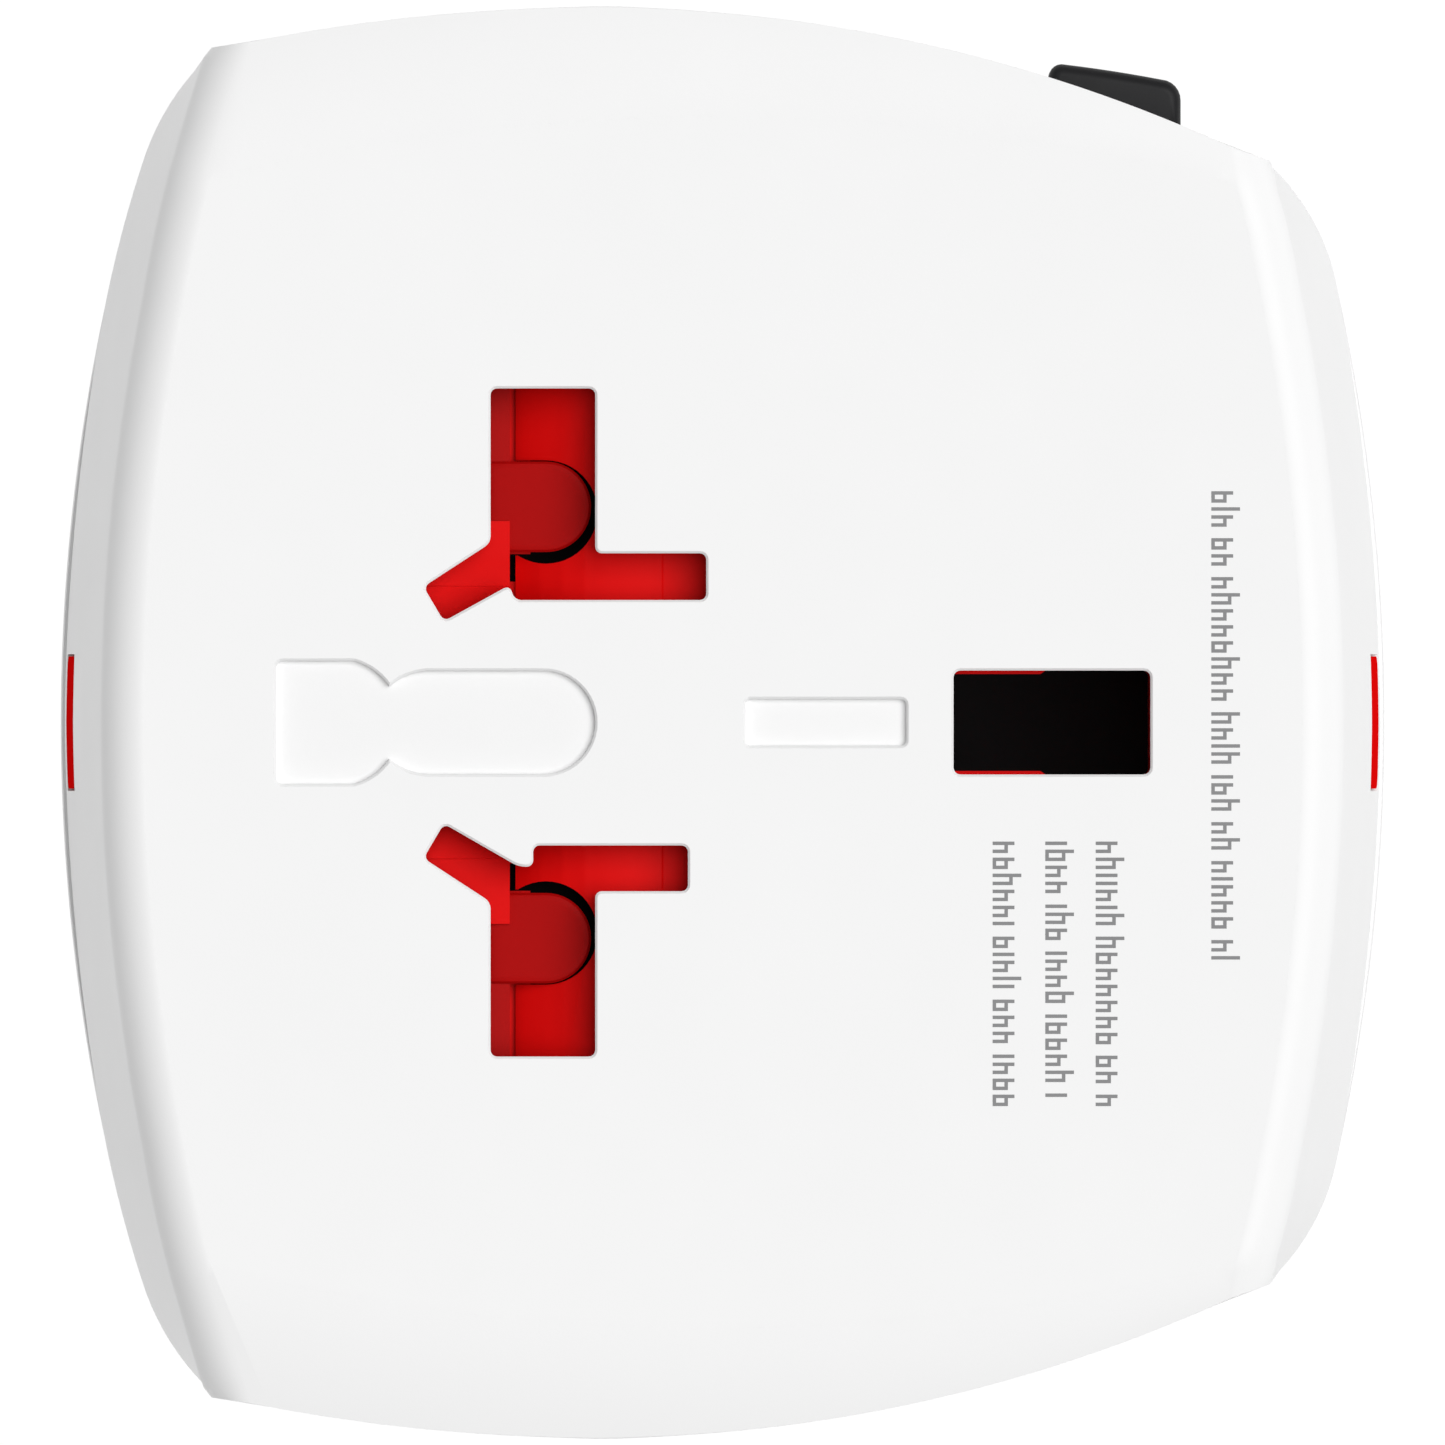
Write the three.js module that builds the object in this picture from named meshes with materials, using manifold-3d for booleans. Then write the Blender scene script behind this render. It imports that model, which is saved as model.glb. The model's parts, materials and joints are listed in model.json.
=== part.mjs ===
// A compact two-pole universal travel adapter, lying on its rear face.
// Millimetres. The origin is the centre of the flat rear face, +Z points out of the socket face,
// +Y points to the end with the earth-pin hole, and the selector knob is on the -X side.
import * as THREE from "three";
import { mergeVertices } from "three/addons/utils/BufferGeometryUtils.js";
import Module from "manifold-3d";

const wasm = await Module();
wasm.setup();

// ---- Driving dimensions -------------------------------------------------------------------------

const DEPTH = 54; // rear face to socket face
const PARTING_Z = 37; // where the front cover meets the rear housing
const GAP = 0.3; // kept between neighbouring pieces
const WALL = 2; // moulded walls, floor and socket face
const SHOULDER_Z = 51.8; // end walls turn over into the socket face here
const FACET_EDGE_Z = 52.5; // outer edge of the two sloping side facets
const END_LEAN = 1.7; // how far each end wall leans out on its way back to the parting line
const REAR_TAPER = 1.2; // the rear housing narrows by this on its way back
const REAR_CHAMFER = 1.2;

// Plan corners, all at their widest. The bottom (-Y) end is wider than the top (+Y) end.
const LOW_CORNER = [29.5, -22.2];
const HIGH_CORNER = [24.5, 23.9];
const SIDE_BULGE = [31.33, -5.5];
const END_REACH = 28.9;
const FACE_CORNER = [23.5, 22.4];
const FACE_REACH = [26.15, 25.3];

// Socket face openings.
const LINE_Y = -7.86; // line through the live and neutral holes
const POLE_X = 11.1; // British live and neutral
const STEM = { x0: 5.3, x1: 14.6, y0: -10.13, y1: -5.55 };
const LEFT_SLOT = { x0: 5.33, x1: 7.34, y0: -9.1, y1: -0.66 };
const RIGHT_SLOT = { x0: 5.33, x1: 7.38, y0: -8.3, y1: -1.5 };
const SLANT = { x: 6.8, y: -9.8, width: 1.77, length: 6.4, angle: 30 };
const EARTH_HOLE = { x: 2.27, y0: 10.09, y1: 18.69 };
const BLANK_SLOT = { x: 1.02, y0: 1.0, y1: 8.03 };
const BLANK_DEPTH = 1.2;
const END_BAR = { half: 2.9, root: 27.5, z: [37.7, 40.5] }; // coloured bar let into each end wall

// Inside.
const FRAME_Z = [30.0, 31.2];
const TRAY_Z = [47.8, 49.2];
const SHUTTER_Z = [49.6, 51.6];
const SHUTTER_X = 15.6;
const UPPER_SHUTTER_Y = [-9.05, -0.2];
const LOWER_SHUTTER_Y = [-13.4, -9.3];
const TRAY = { x: 17, y: [-23, 13.8], stopHalf: 1.4 };
const SPRING_ENDS = { upper: [0.1, 12.0], lower: [-21.5, -13.7] };
const SPRING = { x: 12.4, z: 50.5, radius: 0.75, wire: 0.18, turns: 5 };
const POST = { x: 19.5, y: 21.2, r: 2.0, bossR: 2.3, flareR: 2.9 };
const SCREW = { shankR: 1.0, holeR: 1.3, headR: 1.9, sinkR: 2.2, headZ: [0.3, 1.5], tipZ: 40, sinkZ: 1.7 };
const CROSS_RECESS = { half: 1.2, wide: 0.22, depth: 0.8 };
const CONTACT = { x: [6, 15], half: 3.2, innerHalf: 2.4, z: [32.6, 47], floor: 0.8 };
const BUSBAR = { shelfX: [8, 20.4], railX: [19.6, 20.4], half: 3.6, z: [31.5, 32.3], footZ: 4 };
const FUSE = { y: -20.5, z: 40, r: 2.5, half: 10, capX: 7.1, bodyHalf: 6.8 };
const FUSE_CLIP = { x: [7.5, 9.7], half: 3.4, mouthHalf: 2, below: 3.6, above: 1.6 };

// Selector.
const PANEL_X = -25.6; // flat outer side behind the knob
const PANEL_WALL = 1.6;
const FLANGE_Z = 34.4; // the flat side ends here, under a full-width flange
const KNOB_Y = 17;
const KNOB_Z = 30;
const KNOB_HEIGHT = 7.6;
const TRACKS_Y = [17, 0, -17];
const GATE_HALF = 1.65;
const STROKE = 23;
const CARRIAGE = { x: [-23.7, -22.1], halfLength: 19.5, half: 3.5 };
const STEM_HALF = 1.3;

// Output pins, all measured at rest, drawn in.
const BRITISH = { carrierZ: [25.6, 29.6], earthY: 14.2, pin: [6.35, 4], earth: [4, 8], reach: 17.7 };
const FLAT_BLADE = { x: 6.35, y: 3.0, thick: 1.6, wide: 6.35, tipZ: 1.0, carrierZ: [20.4, 25.0] };
const ROUND_PIN = { x: 9.5, y: -17, r: 2.0, tipZ: 0.5, carrierZ: [21.9, 27.5] };
const PIN_CLEARANCE = 0.35;
const PIN_ROOT = 2.2; // how far a pin is sunk into its carrier
const NECK = 0.7; // a sleeved pin is this much thinner under its sleeve
const BARE_LENGTH = { british: 8.2, round: 9 }; // metal below the sleeve
const HUB_R = 2.9; // a flat blade turns on this in its carrier

// ---- Colours ------------------------------------------------------------------------------------

const WHITE = { color: 0xf3f3f3, roughness: 0.42, metalness: 0 };
const RED = { color: 0xc81414, roughness: 0.4, metalness: 0 };
const BLACK = { color: 0x2c2c2e, roughness: 0.45, metalness: 0 };
const GREY = { color: 0xc9cacc, roughness: 0.5, metalness: 0 };
const BRASS = { color: 0xb99a55, roughness: 0.35, metalness: 1 };
const NICKEL = { color: 0xc8c8c4, roughness: 0.3, metalness: 1 };
const STEEL = { color: 0x8c9094, roughness: 0.35, metalness: 1 };
const CERAMIC = { color: 0xe8e2d4, roughness: 0.6, metalness: 0 };

// ---- Solids -------------------------------------------------------------------------------------

function solid(geometry) {
  const bare = geometry.index ? geometry.toNonIndexed() : geometry.clone();
  bare.deleteAttribute("normal");
  bare.deleteAttribute("uv");
  const merged = mergeVertices(bare, 1e-4);
  const vertProperties = merged.attributes.position.array;
  const triVerts = new Uint32Array(merged.index.array);
  return new wasm.Manifold(new wasm.Mesh({ numProp: 3, vertProperties, triVerts }));
}

function box(x0, x1, y0, y1, z0, z1) {
  const geometry = new THREE.BoxGeometry(x1 - x0, y1 - y0, z1 - z0);
  geometry.translate((x0 + x1) / 2, (y0 + y1) / 2, (z0 + z1) / 2);
  return solid(geometry);
}

// A flat outline, counter-clockwise, raised from z0 to z1.
function prism(points, z0, z1) {
  const shape = new THREE.Shape(points.map(([x, y]) => new THREE.Vector2(x, y)));
  const geometry = new THREE.ExtrudeGeometry(shape, { depth: z1 - z0, bevelEnabled: false });
  geometry.translate(0, 0, z0);
  return solid(geometry);
}

function rod(x, y, z0, z1, radius, sides = 20) {
  const geometry = new THREE.CylinderGeometry(radius, radius, z1 - z0, sides);
  geometry.rotateX(Math.PI / 2);
  geometry.translate(x, y, (z0 + z1) / 2);
  return solid(geometry);
}

function rodAlongX(x0, x1, y, z, radius, sides = 16) {
  const geometry = new THREE.CylinderGeometry(radius, radius, x1 - x0, sides);
  geometry.rotateZ(Math.PI / 2);
  geometry.translate((x0 + x1) / 2, y, z);
  return solid(geometry);
}

function union(solids) {
  return solids.reduce((whole, next) => whole.add(next));
}

function cut(whole, tools) {
  return tools.reduce((left, tool) => left.subtract(tool), whole);
}

// An upright bar centred on (x, y) and turned by angle degrees about Z.
function turnedBar(x, y, width, length, angle, z0, z1) {
  const geometry = new THREE.BoxGeometry(width, length, z1 - z0);
  geometry.rotateZ(THREE.MathUtils.degToRad(angle));
  geometry.translate(x, y, (z0 + z1) / 2);
  return solid(geometry);
}

// ---- Body outlines ------------------------------------------------------------------------------

// Points on the circle through three points, from the first up to but not including the last.
function arc(a, via, b, steps) {
  const [ax, ay] = a;
  const [vx, vy] = via;
  const [bx, by] = b;
  const d = 2 * (ax * (vy - by) + vx * (by - ay) + bx * (ay - vy));
  const aa = ax * ax + ay * ay;
  const vv = vx * vx + vy * vy;
  const bb = bx * bx + by * by;
  const cx = (aa * (vy - by) + vv * (by - ay) + bb * (ay - vy)) / d;
  const cy = (aa * (bx - vx) + vv * (ax - bx) + bb * (vx - ax)) / d;
  const radius = Math.hypot(ax - cx, ay - cy);
  const start = Math.atan2(ay - cy, ax - cx);
  let sweep = Math.atan2(by - cy, bx - cx) - start;
  sweep = Math.atan2(Math.sin(sweep), Math.cos(sweep));
  return Array.from({ length: steps }, (_, i) => {
    const angle = start + (sweep * i) / steps;
    return [cx + radius * Math.cos(angle), cy + radius * Math.sin(angle)];
  });
}

// Both outlines have this many steps on the right half: bottom end, right side, top end.
const END_STEPS = 9;
const SIDE_STEPS = 15;

function mirrored(right) {
  const left = right.slice(1, -1).reverse();
  return [...right, ...left.map(([x, y]) => [-x, y])];
}

function widestOutline() {
  const right = [
    ...arc([0, -END_REACH], [12.4, -28.02], [24.5, -25.35], END_STEPS - 3),
    ...arc([24.5, -25.35], [27.5, -23.95], LOW_CORNER, 3),
    ...arc(LOW_CORNER, [30.87, -13.9], SIDE_BULGE, 6),
    ...arc(SIDE_BULGE, [29.65, 9.2], HIGH_CORNER, SIDE_STEPS - 6),
    ...arc(HIGH_CORNER, [22.2, 25.65], [19.3, 26.8], 3),
    ...arc([19.3, 26.8], [9.9, 28.35], [0, END_REACH], END_STEPS - 3),
    [0, END_REACH],
  ];
  return mirrored(right);
}

function faceOutline() {
  const [x, y] = FACE_CORNER;
  const right = [
    ...arc([0, -FACE_REACH[1]], [x / 2, -24.6], [x, -y], END_STEPS),
    ...arc([x, -y], [FACE_REACH[0], 0], [x, y], SIDE_STEPS),
    ...arc([x, y], [x / 2, 24.6], [0, FACE_REACH[1]], END_STEPS),
    [0, FACE_REACH[1]],
  ];
  return mirrored(right);
}

const WIDEST = widestOutline();
const FACE = faceOutline();

// 1 on the end walls, falling to 0 at the corners and along the sides.
const END_SHARE = WIDEST.map((_, i) => {
  const count = WIDEST.length;
  const step = Math.min(i, count - i);
  const fromEnd = Math.min(step, count / 2 - step);
  return THREE.MathUtils.clamp((END_STEPS - fromEnd) / 3, 0, 1);
});

function inset(outline, distance) {
  return outline.map(([x, y]) => [
    (x * (SIDE_BULGE[0] - distance)) / SIDE_BULGE[0],
    (y * (END_REACH - distance)) / END_REACH,
  ]);
}

// The end walls have leaned in by END_LEAN when they reach the shoulder.
const SHOULDER = WIDEST.map(([x, y], i) => [x, y - Math.sign(y) * END_LEAN * END_SHARE[i]]);

function level(outline, z) {
  return outline.map(([x, y]) => [x, y, z]);
}

// A closed solid through rings of equal point count, lowest ring first.
function loft(rings) {
  const count = rings[0].length;
  const positions = rings.flat(2);
  const index = [];
  for (let r = 0; r + 1 < rings.length; r++) {
    for (let i = 0; i < count; i++) {
      const a = r * count + i;
      const b = r * count + ((i + 1) % count);
      index.push(a, b, b + count, a, b + count, a + count);
    }
  }
  const caps = [0, rings.length - 1];
  for (const r of caps) {
    const flat = rings[r].map(([x, y]) => new THREE.Vector2(x, y));
    for (const [a, b, c] of THREE.ShapeUtils.triangulateShape(flat, [])) {
      const at = r * count;
      if (r === 0) index.push(at + a, at + c, at + b);
      else index.push(at + a, at + b, at + c);
    }
  }
  const geometry = new THREE.BufferGeometry();
  geometry.setAttribute("position", new THREE.Float32BufferAttribute(positions, 3));
  geometry.setIndex(index);
  return solid(geometry);
}

// A ring of the turnover from the shoulder (turn 0) to the face (turn 1): round at the ends,
// straight on the side facets.
function turnoverRing(turn) {
  const quarter = (turn * Math.PI) / 2;
  return SHOULDER.map(([sx, sy], i) => {
    const [fx, fy] = FACE[i];
    const share = END_SHARE[i];
    const out = share * Math.cos(quarter) + (1 - share) * (1 - turn);
    const edgeZ = THREE.MathUtils.lerp(FACET_EDGE_Z, SHOULDER_Z, share);
    const up = share * Math.sin(quarter) + (1 - share) * turn;
    return [fx + (sx - fx) * out, fy + (sy - fy) * out, edgeZ + (DEPTH - edgeZ) * up];
  });
}

function coverOuter() {
  return loft([
    level(WIDEST, PARTING_Z),
    turnoverRing(0),
    turnoverRing(1 / 3),
    turnoverRing(2 / 3),
    turnoverRing(1),
  ]);
}

function coverHollow() {
  return loft([
    level(inset(WIDEST, WALL), PARTING_Z - 1),
    level(inset(SHOULDER, WALL + 0.2), SHOULDER_Z - 1.8),
    level(inset(FACE, 1.2), DEPTH - WALL),
  ]);
}

// ---- Socket face openings -----------------------------------------------------------------------

function slotBox(slot, side, z0, z1) {
  const [x0, x1] = side > 0 ? [slot.x0, slot.x1] : [-slot.x1, -slot.x0];
  return box(x0, x1, slot.y0, slot.y1, z0, z1);
}

// Live and neutral holes of one pole: British stem, American slot and slanted Australian slot.
function poleHoles(side, z0, z1) {
  const { x, y, width, length, angle } = SLANT;
  const slant = turnedBar(side * x, y, width, length, -side * angle, z0, z1);
  const upright = side > 0 ? RIGHT_SLOT : LEFT_SLOT;
  return union([slotBox(STEM, side, z0, z1), slotBox(upright, side, z0, z1), slant]);
}

function earthHole(grow, z0, z1) {
  const { x, y0, y1 } = EARTH_HOLE;
  return box(-x - grow, x + grow, y0 - grow, y1 + grow, z0, z1);
}

// The shallow blank below the middle: a square foot, a waist and a round head.
function blankKeyhole(z0, z1) {
  const right = [
    [2.73, -19.5],
    [2.73, -17.0],
    [1.64, -14.5],
    [2.27, -12.6],
  ];
  const head = Array.from({ length: 13 }, (_, i) => {
    const angle = (Math.PI * i) / 12;
    return [2.27 * Math.cos(angle), -7.82 + 2.27 * Math.sin(angle)];
  });
  const left = right.map(([x, y]) => [-x, y]).reverse();
  return prism([...right, ...head, ...left], z0, z1);
}

// ---- Front cover and what it holds --------------------------------------------------------------

const SIDES = [-1, 1];

// One solid for each of the four screw posts.
function atPosts(make) {
  return SIDES.flatMap((sx) => SIDES.map((sy) => make(sx * POST.x, sy * POST.y)));
}

function endBar(end, grow) {
  const { half, root, z } = END_BAR;
  const outward = end > 0 ? [root - grow, END_REACH + 1] : [-END_REACH - 1, -root + grow];
  return box(-half - grow, half + grow, ...outward, z[0] - grow, z[1] + grow);
}

function frontCover() {
  const bosses = atPosts((x, y) => rod(x, y, FRAME_Z[1] + GAP, DEPTH - WALL + 0.5, POST.bossR));
  const bossHoles = atPosts((x, y) => rod(x, y, FRAME_Z[1], SCREW.tipZ + 2, SCREW.holeR, 12));
  const shell = coverOuter().subtract(coverHollow());
  return cut(union([shell, ...bosses]), [
    ...bossHoles,
    poleHoles(-1, 50, DEPTH + 1),
    poleHoles(1, 50, DEPTH + 1),
    earthHole(0, 50, DEPTH + 1),
    box(-BLANK_SLOT.x, BLANK_SLOT.x, BLANK_SLOT.y0, BLANK_SLOT.y1, DEPTH - BLANK_DEPTH, DEPTH + 1),
    blankKeyhole(DEPTH - BLANK_DEPTH, DEPTH + 1),
    endBar(1, GAP),
    endBar(-1, GAP),
  ]);
}

function accentBar(end) {
  return coverOuter().intersect(endBar(end, 0));
}

function shutter([y0, y1]) {
  return box(-SHUTTER_X, SHUTTER_X, y0, y1, ...SHUTTER_Z);
}

function shutterTray() {
  const plate = cut(box(-TRAY.x, TRAY.x, ...TRAY.y, ...TRAY_Z), [
    earthHole(1.4, 40, 52),
    poleHoles(-1, 40, 52),
    poleHoles(1, 40, 52),
  ]);
  const stops = SIDES.flatMap((side) => {
    const [x0, x1] = [side * SPRING.x - TRAY.stopHalf, side * SPRING.x + TRAY.stopHalf];
    return [
      box(x0, x1, SPRING_ENDS.upper[1] + GAP, TRAY.y[1], TRAY_Z[0], SHUTTER_Z[1]),
      box(x0, x1, TRAY.y[0], SPRING_ENDS.lower[0] - GAP, TRAY_Z[0], SHUTTER_Z[1]),
    ];
  });
  return union([plate, ...stops]);
}

class Helix extends THREE.Curve {
  constructor(x, y0, y1, z, radius, turns) {
    super();
    Object.assign(this, { x, y0, y1, z, radius, turns });
  }
  getPoint(t, target = new THREE.Vector3()) {
    const angle = 2 * Math.PI * this.turns * t;
    const y = this.y0 + (this.y1 - this.y0) * t;
    return target.set(this.x + this.radius * Math.cos(angle), y, this.z + this.radius * Math.sin(angle));
  }
}

function coilSpring(side, [y0, y1]) {
  const { x, z, radius, wire, turns } = SPRING;
  const section = new THREE.Shape([
    new THREE.Vector2(wire, 0),
    new THREE.Vector2(0, wire),
    new THREE.Vector2(-wire, 0),
    new THREE.Vector2(0, -wire),
  ]);
  const extrudePath = new Helix(side * x, y0 + wire, y1 - wire, z, radius, turns);
  return solid(new THREE.ExtrudeGeometry(section, { steps: turns * 8, extrudePath, bevelEnabled: false }));
}

function earthSleeve() {
  const tube = earthHole(1, FRAME_Z[1] + GAP, DEPTH - WALL - GAP);
  return tube.subtract(earthHole(0, 20, 60));
}

// A range along X moved to one side of the middle.
function onSide(side, [x0, x1]) {
  return side > 0 ? [x0, x1] : [-x1, -x0];
}

// A brass channel that grips a pin between its two leaves.
function poleContact(side) {
  const { half, innerHalf, z, floor } = CONTACT;
  const [x0, x1] = onSide(side, CONTACT.x);
  const outer = box(x0, x1, LINE_Y - half, LINE_Y + half, ...z);
  return outer.subtract(box(x0 - 1, x1 + 1, LINE_Y - innerHalf, LINE_Y + innerHalf, z[0] + floor, z[1] + 1));
}

function busbar(side) {
  const y = [LINE_Y - BUSBAR.half, LINE_Y + BUSBAR.half];
  const shelf = box(...onSide(side, BUSBAR.shelfX), ...y, ...BUSBAR.z);
  const rail = box(...onSide(side, BUSBAR.railX), ...y, BUSBAR.footZ, BUSBAR.z[1]);
  return shelf.add(rail);
}

function fuseClip(side) {
  const { half, mouthHalf, below, above } = FUSE_CLIP;
  const [x0, x1] = onSide(side, FUSE_CLIP.x);
  const block = box(x0, x1, FUSE.y - half, FUSE.y + half, FUSE.z - below, FUSE.z + above);
  const bed = rodAlongX(x0 - 1, x1 + 1, FUSE.y, FUSE.z, FUSE.r + GAP);
  return cut(block, [bed, box(x0 - 1, x1 + 1, FUSE.y - mouthHalf, FUSE.y + mouthHalf, FUSE.z, FUSE.z + 3)]);
}

// The plate across the middle, clear of the selector's carriage.
function innerFrame() {
  const edge = inset(WIDEST, 4.6);
  const plate = loft([level(edge, FRAME_Z[0]), level(edge, FRAME_Z[1])]);
  const through = [FRAME_Z[0] - 1, FRAME_Z[1] + 1];
  const [railX] = BUSBAR.railX;
  const railSlots = SIDES.map((side) =>
    box(...onSide(side, [railX - 0.4, railX + 1.2]), LINE_Y - 4, LINE_Y + 4, ...through),
  );
  return cut(plate, [
    box(-40, -21.0, -40, 40, ...through),
    box(-22, -20.5, -19.2, 19.2, ...through),
    ...atPosts((x, y) => rod(x, y, ...through, SCREW.holeR, 12)),
    ...railSlots,
  ]);
}

// ---- Rear housing -------------------------------------------------------------------------------

function housingOuter() {
  const whole = loft([
    level(inset(WIDEST, REAR_TAPER + REAR_CHAMFER), 0),
    level(inset(WIDEST, REAR_TAPER), REAR_CHAMFER),
    level(inset(WIDEST, 0.15), PARTING_Z - GAP),
  ]);
  return whole.subtract(box(-40, PANEL_X, -40, 40, -1, FLANGE_Z));
}

function housingHollow() {
  const hollow = loft([
    level(inset(WIDEST, REAR_TAPER + WALL), WALL),
    level(inset(WIDEST, WALL), PARTING_Z + 1),
  ]);
  const carriageWay = box(PANEL_X + PANEL_WALL, -21.6, -19.8, 19.8, WALL + GAP, PARTING_Z + 1);
  return hollow.subtract(box(-40, PANEL_X + PANEL_WALL, -40, 40, 0, 40)).add(carriageWay);
}

// The comb-shaped gate: one track along Z for each module and one cross slot joining them.
function selectorGate() {
  const x = [PANEL_X - 1, PANEL_X + PANEL_WALL + 1];
  const tracks = TRACKS_Y.map((y) =>
    box(...x, y - GATE_HALF, y + GATE_HALF, KNOB_Z - STROKE - GATE_HALF, KNOB_Z + GATE_HALF),
  );
  const reach = KNOB_Y + GATE_HALF;
  return union([...tracks, box(...x, -reach, reach, KNOB_Z - GATE_HALF, KNOB_Z + GATE_HALF)]);
}

function centredBox(x, y, [wide, tall], grow, z0, z1) {
  return box(x - wide / 2 - grow, x + wide / 2 + grow, y - tall / 2 - grow, y + tall / 2 + grow, z0, z1);
}

// The room that a flat blade needs in the floor while it twists.
function bladeBowTie(side) {
  const turns = [0, 10, 20, 30].map((angle) =>
    turnedBar(
      side * FLAT_BLADE.x,
      FLAT_BLADE.y,
      FLAT_BLADE.thick + 2 * PIN_CLEARANCE,
      FLAT_BLADE.wide + 2 * PIN_CLEARANCE,
      side * angle,
      -1,
      WALL + 1,
    ),
  );
  return union(turns);
}

function rearHousing() {
  const posts = atPosts((x, y) => rod(x, y, WALL - 0.5, FRAME_Z[0] - GAP, POST.r));
  const thickening = atPosts((x, y) => rod(x, y, 1, WALL + 1.2, POST.flareR));
  const pinHoles = SIDES.flatMap((side) => [
    centredBox(side * POLE_X, LINE_Y, BRITISH.pin, PIN_CLEARANCE, -1, 3),
    rod(side * ROUND_PIN.x, ROUND_PIN.y, -1, 3, ROUND_PIN.r + PIN_CLEARANCE),
    bladeBowTie(side),
  ]);
  const shell = housingOuter().subtract(housingHollow());
  return cut(union([shell, ...posts, ...thickening]), [
    ...atPosts((x, y) => rod(x, y, -1, FRAME_Z[1], SCREW.holeR, 12)),
    ...atPosts((x, y) => rod(x, y, -1, SCREW.sinkZ, SCREW.sinkR, 16)),
    ...pinHoles,
    centredBox(0, BRITISH.earthY, BRITISH.earth, PIN_CLEARANCE, -1, 3),
    selectorGate(),
  ]);
}

function screw(sx, sy) {
  const [x, y] = [sx * POST.x, sy * POST.y];
  const { half, wide, depth } = CROSS_RECESS;
  const head = rod(x, y, ...SCREW.headZ, SCREW.headR, 16);
  const shank = rod(x, y, SCREW.headZ[1] - 0.1, SCREW.tipZ, SCREW.shankR, 10);
  const recess = [
    box(x - half, x + half, y - wide, y + wide, 0, depth),
    box(x - wide, x + wide, y - half, y + half, 0, depth),
  ];
  return cut(head.add(shank), recess);
}

// ---- Selector -----------------------------------------------------------------------------------

function carriage() {
  const { x, halfLength, half } = CARRIAGE;
  const plate = box(...x, -halfLength, halfLength, KNOB_Z - half, KNOB_Z + half);
  const reach = KNOB_Y + GATE_HALF;
  return plate.subtract(box(x[0] - 1, x[1] + 1, -reach, reach, KNOB_Z - GATE_HALF, KNOB_Z + GATE_HALF));
}

function knob() {
  const top = [
    [-25.9, 20.0],
    [-27.6, 20.0],
    [-28.05, 19.75],
    [-28.2, 19.2],
    [-28.66, 15.3],
    [-28.6, 14.8],
    [-28.2, 14.35],
    [-27.6, 14.3],
    [-25.9, 14.3],
  ];
  const cap = prism(top, KNOB_Z - KNOB_HEIGHT / 2, KNOB_Z + KNOB_HEIGHT / 2);
  const half = STEM_HALF;
  const stem = box(-26.2, -21.6, KNOB_Y - half, KNOB_Y + half, KNOB_Z - half, KNOB_Z + half);
  const foot = box(-21.8, -20.9, KNOB_Y - 1.9, KNOB_Y + 1.9, KNOB_Z - 2.8, KNOB_Z - 0.3);
  return union([cap, stem, foot]);
}

// ---- Output modules -----------------------------------------------------------------------------

function sleevedPin(side) {
  const tipZ = STROKE - BRITISH.reach;
  const rootZ = BRITISH.carrierZ[0] + PIN_ROOT;
  const tip = centredBox(side * POLE_X, LINE_Y, BRITISH.pin, 0, tipZ, tipZ + BARE_LENGTH.british);
  const neckZ = tipZ + BARE_LENGTH.british - 0.2;
  return tip.add(centredBox(side * POLE_X, LINE_Y, BRITISH.pin, -NECK, neckZ, rootZ));
}

function pinSleeve(side) {
  const z0 = STROKE - BRITISH.reach + BARE_LENGTH.british + GAP;
  const z1 = BRITISH.carrierZ[0] - GAP;
  const outer = centredBox(side * POLE_X, LINE_Y, BRITISH.pin, 0, z0, z1);
  return outer.subtract(centredBox(side * POLE_X, LINE_Y, BRITISH.pin, GAP - NECK, z0 - 1, z1 + 1));
}

function britishEarthPin() {
  return centredBox(0, BRITISH.earthY, BRITISH.earth, 0, 0.3, BRITISH.carrierZ[0] + PIN_ROOT);
}

function britishCarrier() {
  const [z0, z1] = BRITISH.carrierZ;
  const plate = box(-16.8, 16.8, -11.3, 19.2, z0, z1);
  return cut(plate, [
    box(-14.6, 14.6, -4.7, 9.0, z0 - 1, z1 + 1),
    centredBox(0, BRITISH.earthY, BRITISH.earth, GAP, z0 - 1, z0 + PIN_ROOT + GAP),
    ...SIDES.map((side) =>
      centredBox(side * POLE_X, LINE_Y, BRITISH.pin, GAP - NECK, z0 - 1, z0 + PIN_ROOT + GAP),
    ),
  ]);
}

function flatBlade(side) {
  const { x, y, thick, wide, tipZ, carrierZ } = FLAT_BLADE;
  const blade = centredBox(side * x, y, [thick, wide], 0, tipZ, carrierZ[0] - 0.1);
  return blade.add(rod(side * x, y, carrierZ[0] - 0.25, carrierZ[1] - 0.4, HUB_R));
}

function flatBladeCarrier() {
  const { x, y, carrierZ } = FLAT_BLADE;
  const plate = box(-10.2, 10.2, -2.6, 8.6, ...carrierZ);
  const hubHoles = SIDES.map((side) => rod(side * x, y, carrierZ[0] - 1, carrierZ[1] + 1, HUB_R + GAP));
  return cut(plate, hubHoles);
}

function roundPin(side) {
  const { x, y, r, tipZ, carrierZ } = ROUND_PIN;
  const neckZ = tipZ + BARE_LENGTH.round;
  const tip = rod(side * x, y, tipZ, neckZ, r);
  return tip.add(rod(side * x, y, neckZ - 0.2, carrierZ[0] + PIN_ROOT + 1.4, r - NECK, 14));
}

function roundSleeve(side) {
  const { x, y, r, tipZ, carrierZ } = ROUND_PIN;
  const [z0, z1] = [tipZ + BARE_LENGTH.round + GAP, carrierZ[0] - GAP];
  return rod(side * x, y, z0, z1, r - 0.05).subtract(rod(side * x, y, z0 - 1, z1 + 1, r - NECK + GAP, 14));
}

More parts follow.
